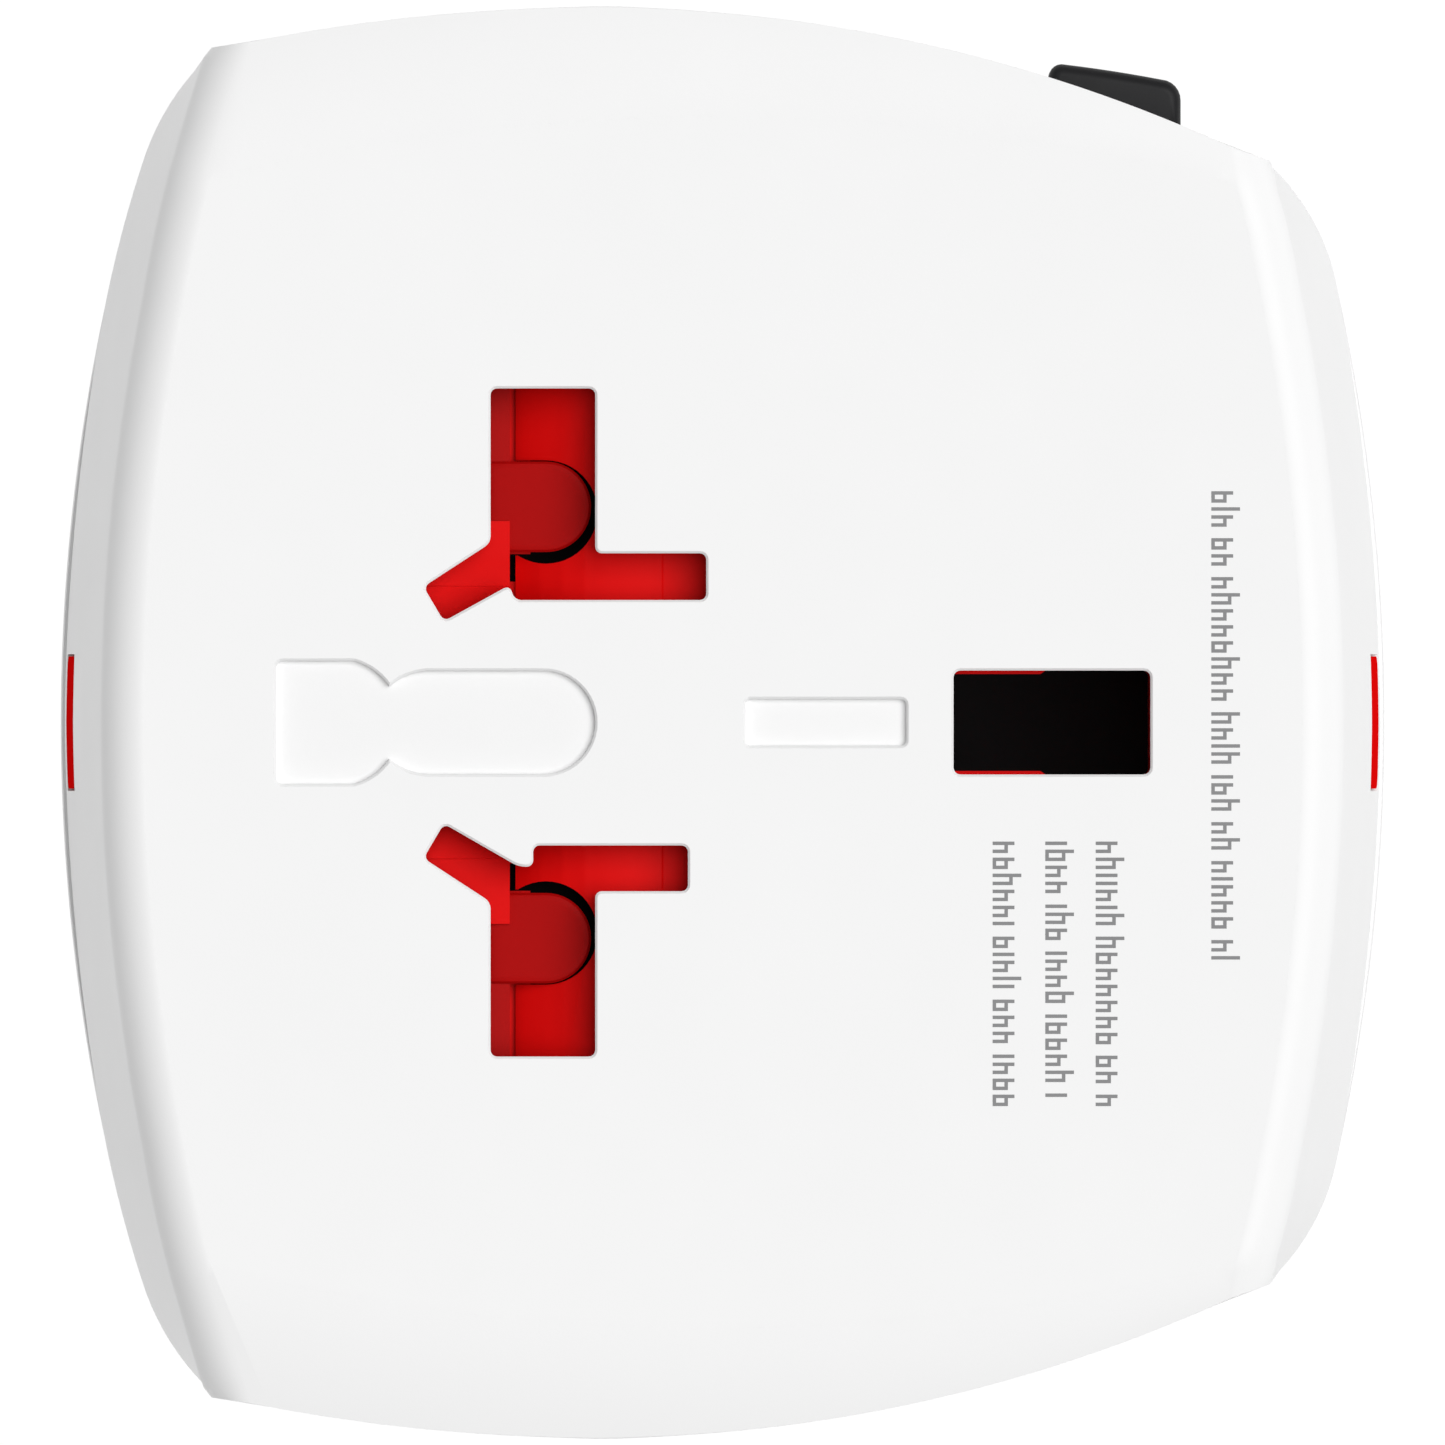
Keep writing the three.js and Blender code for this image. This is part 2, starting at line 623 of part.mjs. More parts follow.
function roundPinCarrier() {
  const [z0, z1] = ROUND_PIN.carrierZ;
  const { x, y, r } = ROUND_PIN;
  const plate = box(-16.2, 16.2, -21.9, -12.1, z0, z1);
  const holes = SIDES.map((side) =>
    rod(side * x, y, z0 - 1, z0 + PIN_ROOT + 1.4 + GAP, r - NECK + GAP, 14),
  );
  return cut(plate, holes);
}

// ---- The assembly -------------------------------------------------------------------------------

const adapter = new THREE.Group();

function add(name, made, look) {
  const cutMesh = made.getMesh();
  const geometry = new THREE.BufferGeometry();
  geometry.setAttribute("position", new THREE.BufferAttribute(cutMesh.vertProperties, 3));
  geometry.setIndex(new THREE.BufferAttribute(cutMesh.triVerts, 1));
  geometry.computeVertexNormals();
  const mesh = new THREE.Mesh(geometry, new THREE.MeshStandardMaterial(look));
  mesh.name = name;
  adapter.add(mesh);
}

const SIDE_NAMES = { "-1": "left", 1: "right" };

add("front_cover", frontCover(), WHITE);
add("rear_housing", rearHousing(), WHITE);
add("inner_frame", innerFrame(), GREY);
add("shutter_tray", shutterTray(), BLACK);
add("shutter_upper", shutter(UPPER_SHUTTER_Y), RED);
add("shutter_lower", shutter(LOWER_SHUTTER_Y), RED);
add("earth_sleeve", earthSleeve(), RED);
add("accent_bar_top", accentBar(1), RED);
add("accent_bar_bottom", accentBar(-1), RED);
add("selector_carriage", carriage(), GREY);
add("selector_knob", knob(), BLACK);
add("uk_carrier", britishCarrier(), GREY);
add("uk_earth_pin", britishEarthPin(), BLACK);
add("us_au_carrier", flatBladeCarrier(), GREY);
add("euro_carrier", roundPinCarrier(), GREY);
add("fuse_body", rodAlongX(-FUSE.bodyHalf, FUSE.bodyHalf, FUSE.y, FUSE.z, FUSE.r - 0.2), CERAMIC);

for (const side of SIDES) {
  const name = SIDE_NAMES[side];
  add(`contact_${name}`, poleContact(side), BRASS);
  add(`busbar_${name}`, busbar(side), BRASS);
  const cap = onSide(side, [FUSE.capX, FUSE.half]);
  add(`fuse_cap_${name}`, rodAlongX(...cap, FUSE.y, FUSE.z, FUSE.r), NICKEL);
  add(`fuse_clip_${name}`, fuseClip(side), BRASS);
  add(`shutter_spring_upper_${name}`, coilSpring(side, SPRING_ENDS.upper), STEEL);
  add(`shutter_spring_lower_${name}`, coilSpring(side, SPRING_ENDS.lower), STEEL);
  add(`uk_pin_${name}`, sleevedPin(side), NICKEL);
  add(`uk_pin_sleeve_${name}`, pinSleeve(side), BLACK);
  add(`us_au_blade_${name}`, flatBlade(side), NICKEL);
  add(`euro_pin_${name}`, roundPin(side), NICKEL);
  add(`euro_pin_sleeve_${name}`, roundSleeve(side), BLACK);
  for (const end of SIDES) {
    add(`screw_${end > 0 ? "top" : "bottom"}_${name}`, screw(side, end), STEEL);
  }
}

export default adapter;
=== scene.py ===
"""Looks for the universal travel adapter. Lengths are in millimetres until a piece is finished."""
import json
import math
import random

import bmesh
import bpy
from mathutils import Matrix, Vector


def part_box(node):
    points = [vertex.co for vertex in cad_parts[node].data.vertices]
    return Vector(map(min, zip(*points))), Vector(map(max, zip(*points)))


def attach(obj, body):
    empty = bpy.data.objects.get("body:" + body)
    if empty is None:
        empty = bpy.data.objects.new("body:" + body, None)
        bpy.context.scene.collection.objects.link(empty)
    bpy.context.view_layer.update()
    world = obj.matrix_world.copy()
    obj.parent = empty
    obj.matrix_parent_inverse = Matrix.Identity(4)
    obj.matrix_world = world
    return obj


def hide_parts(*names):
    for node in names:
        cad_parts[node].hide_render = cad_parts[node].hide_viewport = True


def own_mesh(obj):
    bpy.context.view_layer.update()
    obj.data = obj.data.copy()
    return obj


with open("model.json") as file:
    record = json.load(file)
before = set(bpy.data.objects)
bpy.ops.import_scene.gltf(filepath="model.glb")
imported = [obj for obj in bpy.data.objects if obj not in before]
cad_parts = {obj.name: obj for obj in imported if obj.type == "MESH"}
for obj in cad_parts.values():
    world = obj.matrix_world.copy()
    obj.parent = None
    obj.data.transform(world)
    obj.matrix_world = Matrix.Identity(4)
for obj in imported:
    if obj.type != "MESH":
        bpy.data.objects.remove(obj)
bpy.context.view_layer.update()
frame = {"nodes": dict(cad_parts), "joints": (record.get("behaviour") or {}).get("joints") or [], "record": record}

MM = 0.001
SIDES = {"left": -1, "right": 1}
FACE_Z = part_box("front_cover")[1].z / MM
SEAM = 0.3
PARTING_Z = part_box("rear_housing")[1].z / MM + SEAM


# ---- Camera, light and floor ----------------------------------------------------------------------

def look_down_camera():
    """Straight above the socket face, with the earth-pin hole to the right."""
    frame_width = 0.0631
    distance = 2.9
    data = bpy.data.cameras.new("camera")
    data.sensor_width = 36
    data.lens = data.sensor_width * distance / frame_width
    data.clip_end = 100
    camera = bpy.data.objects.new("camera", data)
    camera.location = (0, 0, FACE_Z * MM + distance)
    camera.rotation_euler = (0, 0, math.pi / 2)
    bpy.context.scene.collection.objects.link(camera)
    bpy.context.scene.camera = camera


def key_light():
    """A broad, soft light from the earth-pin end, a little to the knob side."""
    data = bpy.data.lights.new("key", "SUN")
    data.energy = 2.49
    data.angle = math.radians(50)
    light = bpy.data.objects.new("key", data)
    toward = Vector((-0.08, 0.285, 0.725))
    light.rotation_euler = toward.to_track_quat("Z", "Y").to_euler()
    bpy.context.scene.collection.objects.link(light)


look_down_camera()
key_light()


# ---- Shader expressions ---------------------------------------------------------------------------

class Signal:
    """A shader socket that takes part in Python arithmetic by adding Math nodes."""

    def __init__(self, tree, socket):
        self.tree = tree
        self.socket = socket

    def _math(self, operation, *values):
        return self.tree.node("ShaderNodeMath", {"operation": operation}, *values)

    def __add__(self, other):
        return self._math("ADD", self, other)

    def __mul__(self, other):
        return self._math("MULTIPLY", self, other)

    __radd__ = __add__
    __rmul__ = __mul__


MIX_LOW, MIX_HIGH, MIX_RESULT = 6, 7, 2


class Finish:
    """One material: its nodes, its Principled shader and Object coordinates."""

    def __init__(self, name):
        self.material = bpy.data.materials.new(name)
        self.material.use_nodes = True
        self.nodes = self.material.node_tree.nodes
        self.shader = self.nodes["Principled BSDF"]
        self.place = Signal(self, self.nodes.new("ShaderNodeTexCoord").outputs["Object"])

    def node(self, kind, settings, *values, **named):
        """Adds a node: its settings first, then the values or links of its sockets."""
        made = self.nodes.new(kind)
        for key, value in settings.items():
            setattr(made, key, value)
        for socket, value in zip(made.inputs, values):
            self.feed(socket, value)
        for key, value in named.items():
            self.feed(made.inputs[key.replace("_", " ")], value)
        return Signal(self, made.outputs[0])

    def feed(self, socket, value):
        if isinstance(value, Signal):
            self.material.node_tree.links.new(value.socket, socket)
        else:
            socket.default_value = value

    def noise(self, scale, detail, stretch=(1, 1, 1)):
        place = self.node("ShaderNodeMapping", {}, Vector=self.place, Scale=stretch)
        return self.node("ShaderNodeTexNoise", {}, Vector=place, Scale=scale, Detail=detail)

    def mix(self, factor, low, high):
        made = self.nodes.new("ShaderNodeMix")
        made.data_type = "RGBA"
        self.feed(made.inputs["Factor"], factor)
        self.feed(made.inputs[MIX_LOW], (*low, 1))
        self.feed(made.inputs[MIX_HIGH], (*high, 1))
        return Signal(self, made.outputs[MIX_RESULT])

    def bump(self, height, strength, distance):
        return self.node("ShaderNodeBump", {}, Height=height, Strength=strength, Distance=distance)

    def surface(self, **sockets):
        for key, value in sockets.items():
            self.feed(self.shader.inputs[key.replace("_", " ")], value)


def moulded_plastic(name, colour, cloud_colour, rough, grain=9000, specular=0.35):
    """Moulded plastic: a faint cloud in the colour, fine spark-eroded grain and faint handling marks."""
    f = Finish(name)
    cloud = f.noise(scale=90, detail=4)
    handled = f.noise(scale=260, detail=5)
    fine = f.noise(scale=grain, detail=2)
    f.surface(
        Base_Color=f.mix(cloud, colour, cloud_colour),
        Roughness=rough - 0.06 + handled * 0.12,
        Specular_IOR_Level=specular,
        Normal=f.bump(fine, 0.35, 0.000006),
    )
    return f.material


def worn_metal(name, colour, tarnished, rough, stretch):
    """Plated or stamped metal with drawing lines along one direction and slight tarnish."""
    f = Finish(name)
    lines = f.noise(scale=2600, detail=3, stretch=stretch)
    tarnish = f.noise(scale=300, detail=5)
    f.surface(
        Base_Color=f.mix(tarnish, colour, tarnished),
        Metallic=1.0,
        Roughness=rough - 0.08 + lines * 0.16,
        Normal=f.bump(lines, 0.3, 0.000008),
    )
    return f.material


WHITE = moulded_plastic("white_shell", (0.895, 0.895, 0.895), (0.88, 0.88, 0.88), 0.42)
RED = moulded_plastic("red_plastic", (0.72, 0.003, 0.003), (0.66, 0.002, 0.002), 0.5, specular=0.06)
# The same red plastic made darker: painted shade, standing in for the shade deep in the holes on the shutter
# bosses and outer ledges.
SHADE_PAINTED_RED = moulded_plastic(
    "red_plastic_painted_shade", (0.42, 0.003, 0.003), (0.37, 0.002, 0.002), 0.5, specular=0.06,
)
BLACK = moulded_plastic(
    "black_plastic", (0.017, 0.017, 0.018), (0.013, 0.013, 0.014), 0.45, specular=0.14,
)
BAR_RED = moulded_plastic(
    "matt_red_enamel", (0.75, 0.003, 0.003), (0.7, 0.002, 0.002), 0.9, specular=0.0,
)
# Near-black: painted shadow, for the sheet under the upper shutter that shows as the dark gap round each boss.
PAINTED_SHADOW_BLACK = moulded_plastic(
    "painted_shadow_black", (0.004, 0.004, 0.004), (0.003, 0.003, 0.003), 0.8, specular=0.05,
)
GREY = moulded_plastic(
    "graphite_plastic", (0.02, 0.02, 0.021), (0.015, 0.015, 0.016), 0.6, specular=0.1,
)
INK = moulded_plastic("grey_ink", (0.27, 0.27, 0.275), (0.22, 0.22, 0.225), 0.55, grain=20000)
CERAMIC = moulded_plastic("ceramic", (0.82, 0.78, 0.68), (0.74, 0.7, 0.6), 0.3)
BRASS = worn_metal("brass_strip", (0.72, 0.55, 0.26), (0.56, 0.4, 0.17), 0.32, (0.2, 1, 1))
NICKEL = worn_metal("nickel_plate", (0.78, 0.77, 0.74), (0.66, 0.65, 0.62), 0.26, (1, 1, 0.1))
STEEL = worn_metal("zinc_steel", (0.58, 0.59, 0.6), (0.46, 0.47, 0.48), 0.34, (1, 1, 0.3))

SLOT_LOOKS = {
    "white_shell": WHITE,
    "red_plastic": RED,
    "black_plastic": BLACK,
    "grey_plastic": GREY,
    "brass": BRASS,
    "nickel": NICKEL,
    "steel": STEEL,
    "ceramic": CERAMIC,
}
SLOT_OF = {row["node"]: row["material_slot"] for row in frame["record"]["subparts"]}


def finish_cad_nodes():
    """Gives every CAD node the look of its material slot."""
    for name, node in frame["nodes"].items():
        node.data.materials.clear()
        node.data.materials.append(SLOT_LOOKS[SLOT_OF[name]])


finish_cad_nodes()


# ---- Mesh helpers ---------------------------------------------------------------------------------

def arc(a, via, b, steps):
    """Points of the circle through three points, from a up to but not including b."""
    (ax, ay), (vx, vy), (bx, by) = a, via, b
    d = 2 * (ax * (vy - by) + vx * (by - ay) + bx * (ay - vy))
    aa, vv, bb = ax * ax + ay * ay, vx * vx + vy * vy, bx * bx + by * by
    cx = (aa * (vy - by) + vv * (by - ay) + bb * (ay - vy)) / d
    cy = (aa * (bx - vx) + vv * (ax - bx) + bb * (vx - ax)) / d
    radius = math.hypot(ax - cx, ay - cy)
    start = math.atan2(ay - cy, ax - cx)
    sweep = math.remainder(math.atan2(by - cy, bx - cx) - start, 2 * math.pi)
    turns = [start + sweep * i / steps for i in range(steps)]
    return [(cx + radius * math.cos(t), cy + radius * math.sin(t)) for t in turns]


def line(a, b, steps):
    return [tuple(Vector(a).lerp(Vector(b), i / steps)) for i in range(steps)]


def mirrored(right):
    """Closes a right-hand half outline, from the low end to the high end, with its mirror image."""
    return right + [(-p[0], *p[1:]) for p in reversed(right[1:-1])]


def face_from(bm, points):
    return bm.faces.new([bm.verts.new(p) for p in points])


def rounded(outline, radius, segments=4):
    """The outline with its corners rounded."""
    if not radius:
        return outline
    bm = bmesh.new()
    face = face_from(bm, level(outline, 0))
    bmesh.ops.bevel(
        bm, geom=list(face.verts), offset=radius, offset_type="OFFSET", affect="VERTICES",
        segments=segments, profile=0.5, material=-1,
    )
    points = [(loop.vert.co.x, loop.vert.co.y) for loop in bm.faces[:][-1].loops]
    bm.free()
    return points


def grown(outline, width):
    """The outline moved outwards by width, with mitred corners."""
    points = [Vector(p) for p in outline]
    points = [p for p, before in zip(points, points[-1:] + points[:-1]) if (p - before).length > 1e-6]
    area = sum(a.x * b.y - b.x * a.y for a, b in zip(points, points[1:] + points[:1]))
    if area < 0:
        points.reverse()
    moved = []
    for before, here, after in zip(points[-1:] + points[:-1], points, points[1:] + points[:1]):
        first = (here - before).normalized()
        second = (after - here).normalized()
        normals = Vector((first.y, -first.x)), Vector((second.y, -second.x))
        bisector = (normals[0] + normals[1]).normalized()
        moved.append(tuple(here + bisector * width / max(bisector.dot(normals[0]), 0.3)))
    return moved


def level(outline, z):
    return [(x, y, z) for x, y in outline]


def stack(bm, rings):
    """A closed form: a face on the first ring, drawn out from ring to ring. All have the same count."""
    face = face_from(bm, rings[0])
    for ring in rings[1:]:
        drawn = bmesh.ops.extrude_face_region(bm, geom=[face, *face.edges])["geom"]
        face = next(item for item in drawn if isinstance(item, bmesh.types.BMFace))
        for loop, point in zip(face.loops, ring):
            loop.vert.co = point
    bmesh.ops.recalc_face_normals(bm, faces=bm.faces[:])


def prism(bm, outline, z0, z1):
    """A closed upright block on an outline."""
    stack(bm, [level(outline, z1), level(outline, z0)])


def rectangle(x0, x1, y0, y1):
    return [(x0, y0), (x1, y0), (x1, y1), (x0, y1)]


def circle(x, y, radius, count=48):
    turns = [2 * math.pi * i / count for i in range(count)]
    return [(x + radius * math.cos(t), y + radius * math.sin(t)) for t in turns]


def block(bm, x0, x1, y0, y1, z0, z1):
    place = Matrix.Translation(((x0 + x1) / 2, (y0 + y1) / 2, (z0 + z1) / 2))
    size = Matrix.Diagonal((x1 - x0, y1 - y0, z1 - z0, 1))
    bmesh.ops.create_cube(bm, size=1, matrix=place @ size)


def node_corners(node):
    low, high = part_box(node)
    return low / MM, high / MM


def node_centre(node):
    low, high = node_corners(node)
    return (low + high) / 2


def grown_box(node, grow):
    low, high = node_corners(node)
    return rectangle(low.x - grow, high.x + grow, low.y - grow, high.y + grow)


def frame_stroke(name):
    """How far a sliding joint travels, in millimetres."""
    joint = next(j for j in frame["joints"] if j["name"] == name)
    return joint["range_m"][1] / MM


def as_object(bm, name, look=None):
    """Turns a mesh in millimetres into an object in metres."""
    bmesh.ops.scale(bm, vec=(MM, MM, MM), verts=bm.verts[:])
    mesh = bpy.data.meshes.new(name)
    bm.to_mesh(mesh)
    bm.free()
    piece = bpy.data.objects.new(name, mesh)
    bpy.context.scene.collection.objects.link(piece)
    if look:
        mesh.materials.append(look)
    return piece


def prism_object(outline, z0, z1, name="cutter"):
    bm = bmesh.new()
    prism(bm, outline, z0, z1)
    return as_object(bm, name)


def boolean(piece, cutter, operation="DIFFERENCE"):
    step = piece.modifiers.new("cut", "BOOLEAN")
    step.operation = operation
    step.solver = "EXACT"
    step.object = cutter
    bpy.context.view_layer.update()
    settled = piece.evaluated_get(bpy.context.evaluated_depsgraph_get())
    mesh = bpy.data.meshes.new_from_object(settled)
    piece.modifiers.clear()
    piece.data = mesh
    bpy.data.objects.remove(cutter)


def shade(piece, crisp=25):
    """Smooth faces with crisp edges wherever the surface turns by more than the given angle."""
    bm = bmesh.new()
    bm.from_mesh(piece.data)
    bmesh.ops.remove_doubles(bm, verts=bm.verts[:], dist=1e-7)
    bmesh.ops.dissolve_degenerate(bm, edges=bm.edges[:], dist=1e-7)
    for face in bm.faces:
        face.smooth = True
    for edge in bm.edges:
        edge.smooth = len(edge.link_faces) == 2 and edge.calc_face_angle() < math.radians(crisp)
    bm.to_mesh(piece.data)
    bm.free()


def settle(piece, body, slot, *nodes, crisp=25):
    """Finishes a piece: its shading, the nodes it replaces and the body it moves with. Its slot is not used."""
    shade(piece, crisp)
    even = piece.modifiers.new("even_normals", "WEIGHTED_NORMAL")
    even.keep_sharp = True
    if nodes:
        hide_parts(*nodes)
    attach(piece, body)


# ---- Body outlines --------------------------------------------------------------------------------

HALF_WIDTH = 31.33
HALF_LENGTH = 28.9
WALL_REACH = 28.72
LOW_SHOULDER = (18.6, -26.9)
LOW_TURN = (24.5, -25.35)
LOW_CORNER = (29.5, -22.2)
HIGH_SHOULDER = (19.3, 26.8)
HIGH_CORNER = (24.5, 23.9)
BULGE = (HALF_WIDTH, -5.5)
FACE_LOW = (23.5, -22.4)
FACE_HIGH = (23.5, 22.4)
EDGE_LOW = (29.74, -20.6)
EDGE_BULGE = (31.23, -5.5)
EDGE_HIGH = (25.15, 22.15)
CREASE_X = 26.15
CREASE_RADIUS = 95.0
END_SPREAD = 1.006
FACET_ANGLE = math.radians(11.5)
FACET_SLOPE = math.tan(FACET_ANGLE)
END_RADIUS = 1.9
EDGE_RADIUS = 0.08
LOW_STEPS = (20, 6, 10)
SIDE_STEPS = (18, 28)
HIGH_STEPS = (10, 20)
FACET_END_STEPS = 3


def widest_outline(reach):
    """The body seen from the front, at its widest; reach is how far each end goes in Y."""
    a, b, c = LOW_STEPS
    d, e = SIDE_STEPS
    g, h = HIGH_STEPS
    right = arc((0, -reach), (9.3, -reach + 0.5), LOW_SHOULDER, a)
    right += arc(LOW_SHOULDER, (21.6, -26.2), LOW_TURN, b)
    right += arc(LOW_TURN, (27.3, -24.05), LOW_CORNER, c)
    right += arc(LOW_CORNER, (30.87, -13.9), BULGE, d)
    right += arc(BULGE, (29.65, 9.2), HIGH_CORNER, e)
    right += arc(HIGH_CORNER, (22.3, 25.65), HIGH_SHOULDER, g)
    right += arc(HIGH_SHOULDER, (9.7, reach - 0.52), (0, reach), h)
    return mirrored([(x, y * END_SPREAD) for x, y in right + [(0, reach)]])


def scaled(outline, by):
    """The outline drawn in towards its middle by the given width on every side."""
    narrow = HALF_WIDTH - by
    short = HALF_LENGTH - by
    return [(x * narrow / HALF_WIDTH, y * short / HALF_LENGTH) for x, y in outline]


def face_edge_outline():
    """The edge of the front: round ends at the face, and the outer edges of the sloping side facets."""
    a, b, c = LOW_STEPS
    d, e = SIDE_STEPS
    g, h = HIGH_STEPS
    low_end, low_shoulder = (0, -25.3), (18.6, -23.48)
    high_end, high_shoulder = (0, 25.3), (19.3, 23.34)
    right = arc(low_end, (9.3, -24.85), low_shoulder, a)
    right += arc(low_shoulder, (21.1, -22.98), FACE_LOW, b)
    right += line(FACE_LOW, EDGE_LOW, c)
    right += arc(EDGE_LOW, (30.77, -13.9), EDGE_BULGE, d)
    right += arc(EDGE_BULGE, (29.55, 9.2), EDGE_HIGH, e)
    right += line(EDGE_HIGH, FACE_HIGH, FACET_END_STEPS)
    right += arc(FACE_HIGH, (21.5, 22.9), high_shoulder, g - FACET_END_STEPS)
    right += arc(high_shoulder, (9.7, 24.81), high_end, h)
    return mirrored(right + [high_end])


def zone_shares():
    """For each outline point: 1 on a round end with its corners, 0 on a side."""
    a, b, c = LOW_STEPS
    g, h = HIGH_STEPS
    sides = [0.0] * (sum(SIDE_STEPS) - 1)
    right = [1.0] * (a + b + c + 1) + sides + [1.0] * (g + h + 1)
    return right + right[-2:0:-1]


SHARES = zone_shares()
CREASE = arc(FACE_LOW, (CREASE_X, 0), FACE_HIGH, sum(SIDE_STEPS)) + [FACE_HIGH]


def facet_z(point):
    """Height of the front's edge: level at the ends, dropping with the slope of the side facets."""
    x, y = point
    along = min(abs(y), FACE_HIGH[1])
    crease_x = CREASE_X - CREASE_RADIUS + math.sqrt(CREASE_RADIUS ** 2 - along ** 2)
    return FACE_Z - max(0.0, abs(x) - crease_x) * FACET_SLOPE


def front_rings(turn_steps=10):
    """Rings from the edge of the front, over its rounding, down to the parting line."""
    edge = face_edge_outline()
    wide = widest_outline(WALL_REACH)
    end_lean = math.radians(6.5)
    rings = []
    for k in range(turn_steps + 2):
        ring = []
        for (ex, ey), (wx, wy), share in zip(edge, wide, SHARES):
            radius = EDGE_RADIUS + (END_RADIUS - EDGE_RADIUS) * share
            first = FACET_ANGLE * (1 - share)
            last = math.pi / 2 - end_lean * share
            turn = first + (last - first) * min(k, turn_steps) / turn_steps
            reach = radius * (math.sin(last) - math.sin(first))
            out = radius * (math.sin(turn) - math.sin(first))
            drop = radius * (math.cos(first) - math.cos(turn))
            whole = math.hypot(wx - ex, wy - ey)
            part = out / reach * min(1.0, reach / max(whole, 1e-6))
            z = facet_z((ex, ey)) - drop
            if k > turn_steps:
                part, z = 1.0, PARTING_Z
            ring.append((ex + (wx - ex) * part, ey + (wy - ey) * part, z))
        rings.append(ring)
    return rings


def ring_verts(bm, points):
    return [bm.verts.new(p) for p in points]


def strip(bm, upper, lower, closed=True):
    """Faces between two rows of vertices of equal length, facing out when the rows run anticlockwise."""
    count = len(upper) if closed else len(upper) - 1
    for i in range(count):
        j = (i + 1) % len(upper)
        bm.faces.new((upper[i], lower[i], lower[j], upper[j]))


def front_solid():
    """The closed outer form of the front cover."""
    bm = bmesh.new()
    rings = [ring_verts(bm, ring) for ring in front_rings()]
    for upper, lower in zip(rings, rings[1:]):
        strip(bm, upper, lower)
    bm.faces.new(list(reversed(rings[-1])))
    edge = rings[0]
    low, side, count = sum(LOW_STEPS), sum(SIDE_STEPS), len(edge)
    high = low + side
    start = sum(LOW_STEPS[:2])
    top = high + FACET_END_STEPS
    right_edge = edge[low:high + 1]
    left_edge = edge[count - high:count - low + 1][::-1]
    crease_right = [edge[start]] + ring_verts(bm, [(x, y, FACE_Z) for x, y in CREASE[1:-1]])
    crease_right.append(edge[top])
    crease_left = [edge[count - start]] + ring_verts(bm, [(-x, y, FACE_Z) for x, y in CREASE[1:-1]])
    crease_left.append(edge[count - top])
    strip(bm, crease_right[1:-1], right_edge[1:-1], closed=False)
    strip(bm, left_edge[1:-1], crease_left[1:-1], closed=False)
    bm.faces.new([crease_right[1], *edge[start:low + 2]])
    bm.faces.new([crease_right[-2], *edge[high - 1:top + 1]])
    bm.faces.new([*edge[count - low - 1:count - start + 1], crease_left[1]])
    bm.faces.new([*edge[count - top:count - high + 2], crease_left[-2]])
    rest = edge[top + 1:count - top]
    low_arc = edge[count - start + 1:] + edge[:start]
    face = bm.faces.new(crease_right + rest + crease_left[::-1] + low_arc)
    bmesh.ops.inset_region(bm, faces=[face], thickness=0.25, use_even_offset=True, use_boundary=True)
    bmesh.ops.recalc_face_normals(bm, faces=bm.faces[:])
    return bm


# ---- Openings in the face -------------------------------------------------------------------------

SHARED_HOLE = [(14.59, -10.13), (14.59, -5.56)]
RIGHT_HOLE = SHARED_HOLE + [
    (7.37, -5.56), (7.37, -1.51), (5.37, -1.51), (5.37, -8.27),
    (6.3, -8.27), (6.3, -8.9), (4.42, -12.17), (5.93, -13.06), (7.84, -10.13),
]
LEFT_HOLE = SHARED_HOLE + [
    (7.39, -5.56), (7.39, -0.71), (5.35, -0.71), (5.35, -9.08),
    (6.0, -9.3), (4.42, -12.17), (5.93, -13.06), (7.84, -10.13),
]
EARTH_HOLE = rectangle(-2.27, 2.27, 10.09, 18.69)
SQUARE_BLANK = rectangle(-1.03, 1.03, 1.0, 8.03)
RIM = 0.1
HOLE_DEPTH = 6
BLANK_DEPTH = 0.45
BLANK_FOOT = 0.05


def keyhole_blank():
    """A square foot, a waist and a long stem with a round head."""
    right = arc((2.4, -19.5), (2.61, -19.41), (2.7, -19.2), 4) + [(2.7, -19.2)]
    right += arc((2.7, -16.1), (2.29, -15.22), (1.6, -14.55), 7)
    right += arc((1.6, -14.55), (2.02, -13.9), (2.27, -12.9), 6) + [(2.27, -12.9)]
    head = arc((2.27, -7.82), (1.605, -6.215), (0, -5.55), 12)
    head += arc((0, -5.55), (-1.605, -6.215), (-2.27, -7.82), 12) + [(-2.27, -7.82)]
    return right + head + [(-x, y) for x, y in reversed(right)]


def face_cutter(outline, depth, corner, foot=0.0):
    """A cutter for one opening: a small chamfer at the face, straight walls and a rounded foot."""
    bm = bmesh.new()
    outline = rounded(outline, corner)
    mouth = grown(outline, RIM)
    outline = grown(outline, 0)
    floor_z = FACE_Z - depth
    rings = [level(mouth, FACE_Z + 0.5), level(mouth, FACE_Z), level(outline, FACE_Z - RIM)]
    rings.append(level(outline, floor_z + foot))
    steps = 4 if foot else 0
    for step in range(1, steps + 1):
        turn = math.pi / 2 * step / steps
        inner = grown(outline, foot * (math.cos(turn) - 1))
        rings.append(level(inner, floor_z + foot * (1 - math.sin(turn))))
    stack(bm, rings)
    return as_object(bm, "cutter")


def cover_hollow():
    """The room inside the front cover."""
    bm = bmesh.new()
    wide = widest_outline(WALL_REACH)
    levels = ((6.8, FACE_Z - 2.0), (3.2, FACE_Z - 4.5), (2.0, PARTING_Z - 1))
    stack(bm, [level(scaled(wide, inset), z) for inset, z in levels])
    return as_object(bm, "hollow")


def bar_cutter(low, high):
    """The seat of one red bar, with a hairline gap all round."""
    gap = 0.1
    bm = bmesh.new()
    block(bm, low.x - gap, high.x + gap, low.y - gap, high.y + gap, low.z - gap, high.z + gap)
    return as_object(bm, "cutter")


ACCENT_BARS = ("accent_bar_top", "accent_bar_bottom")


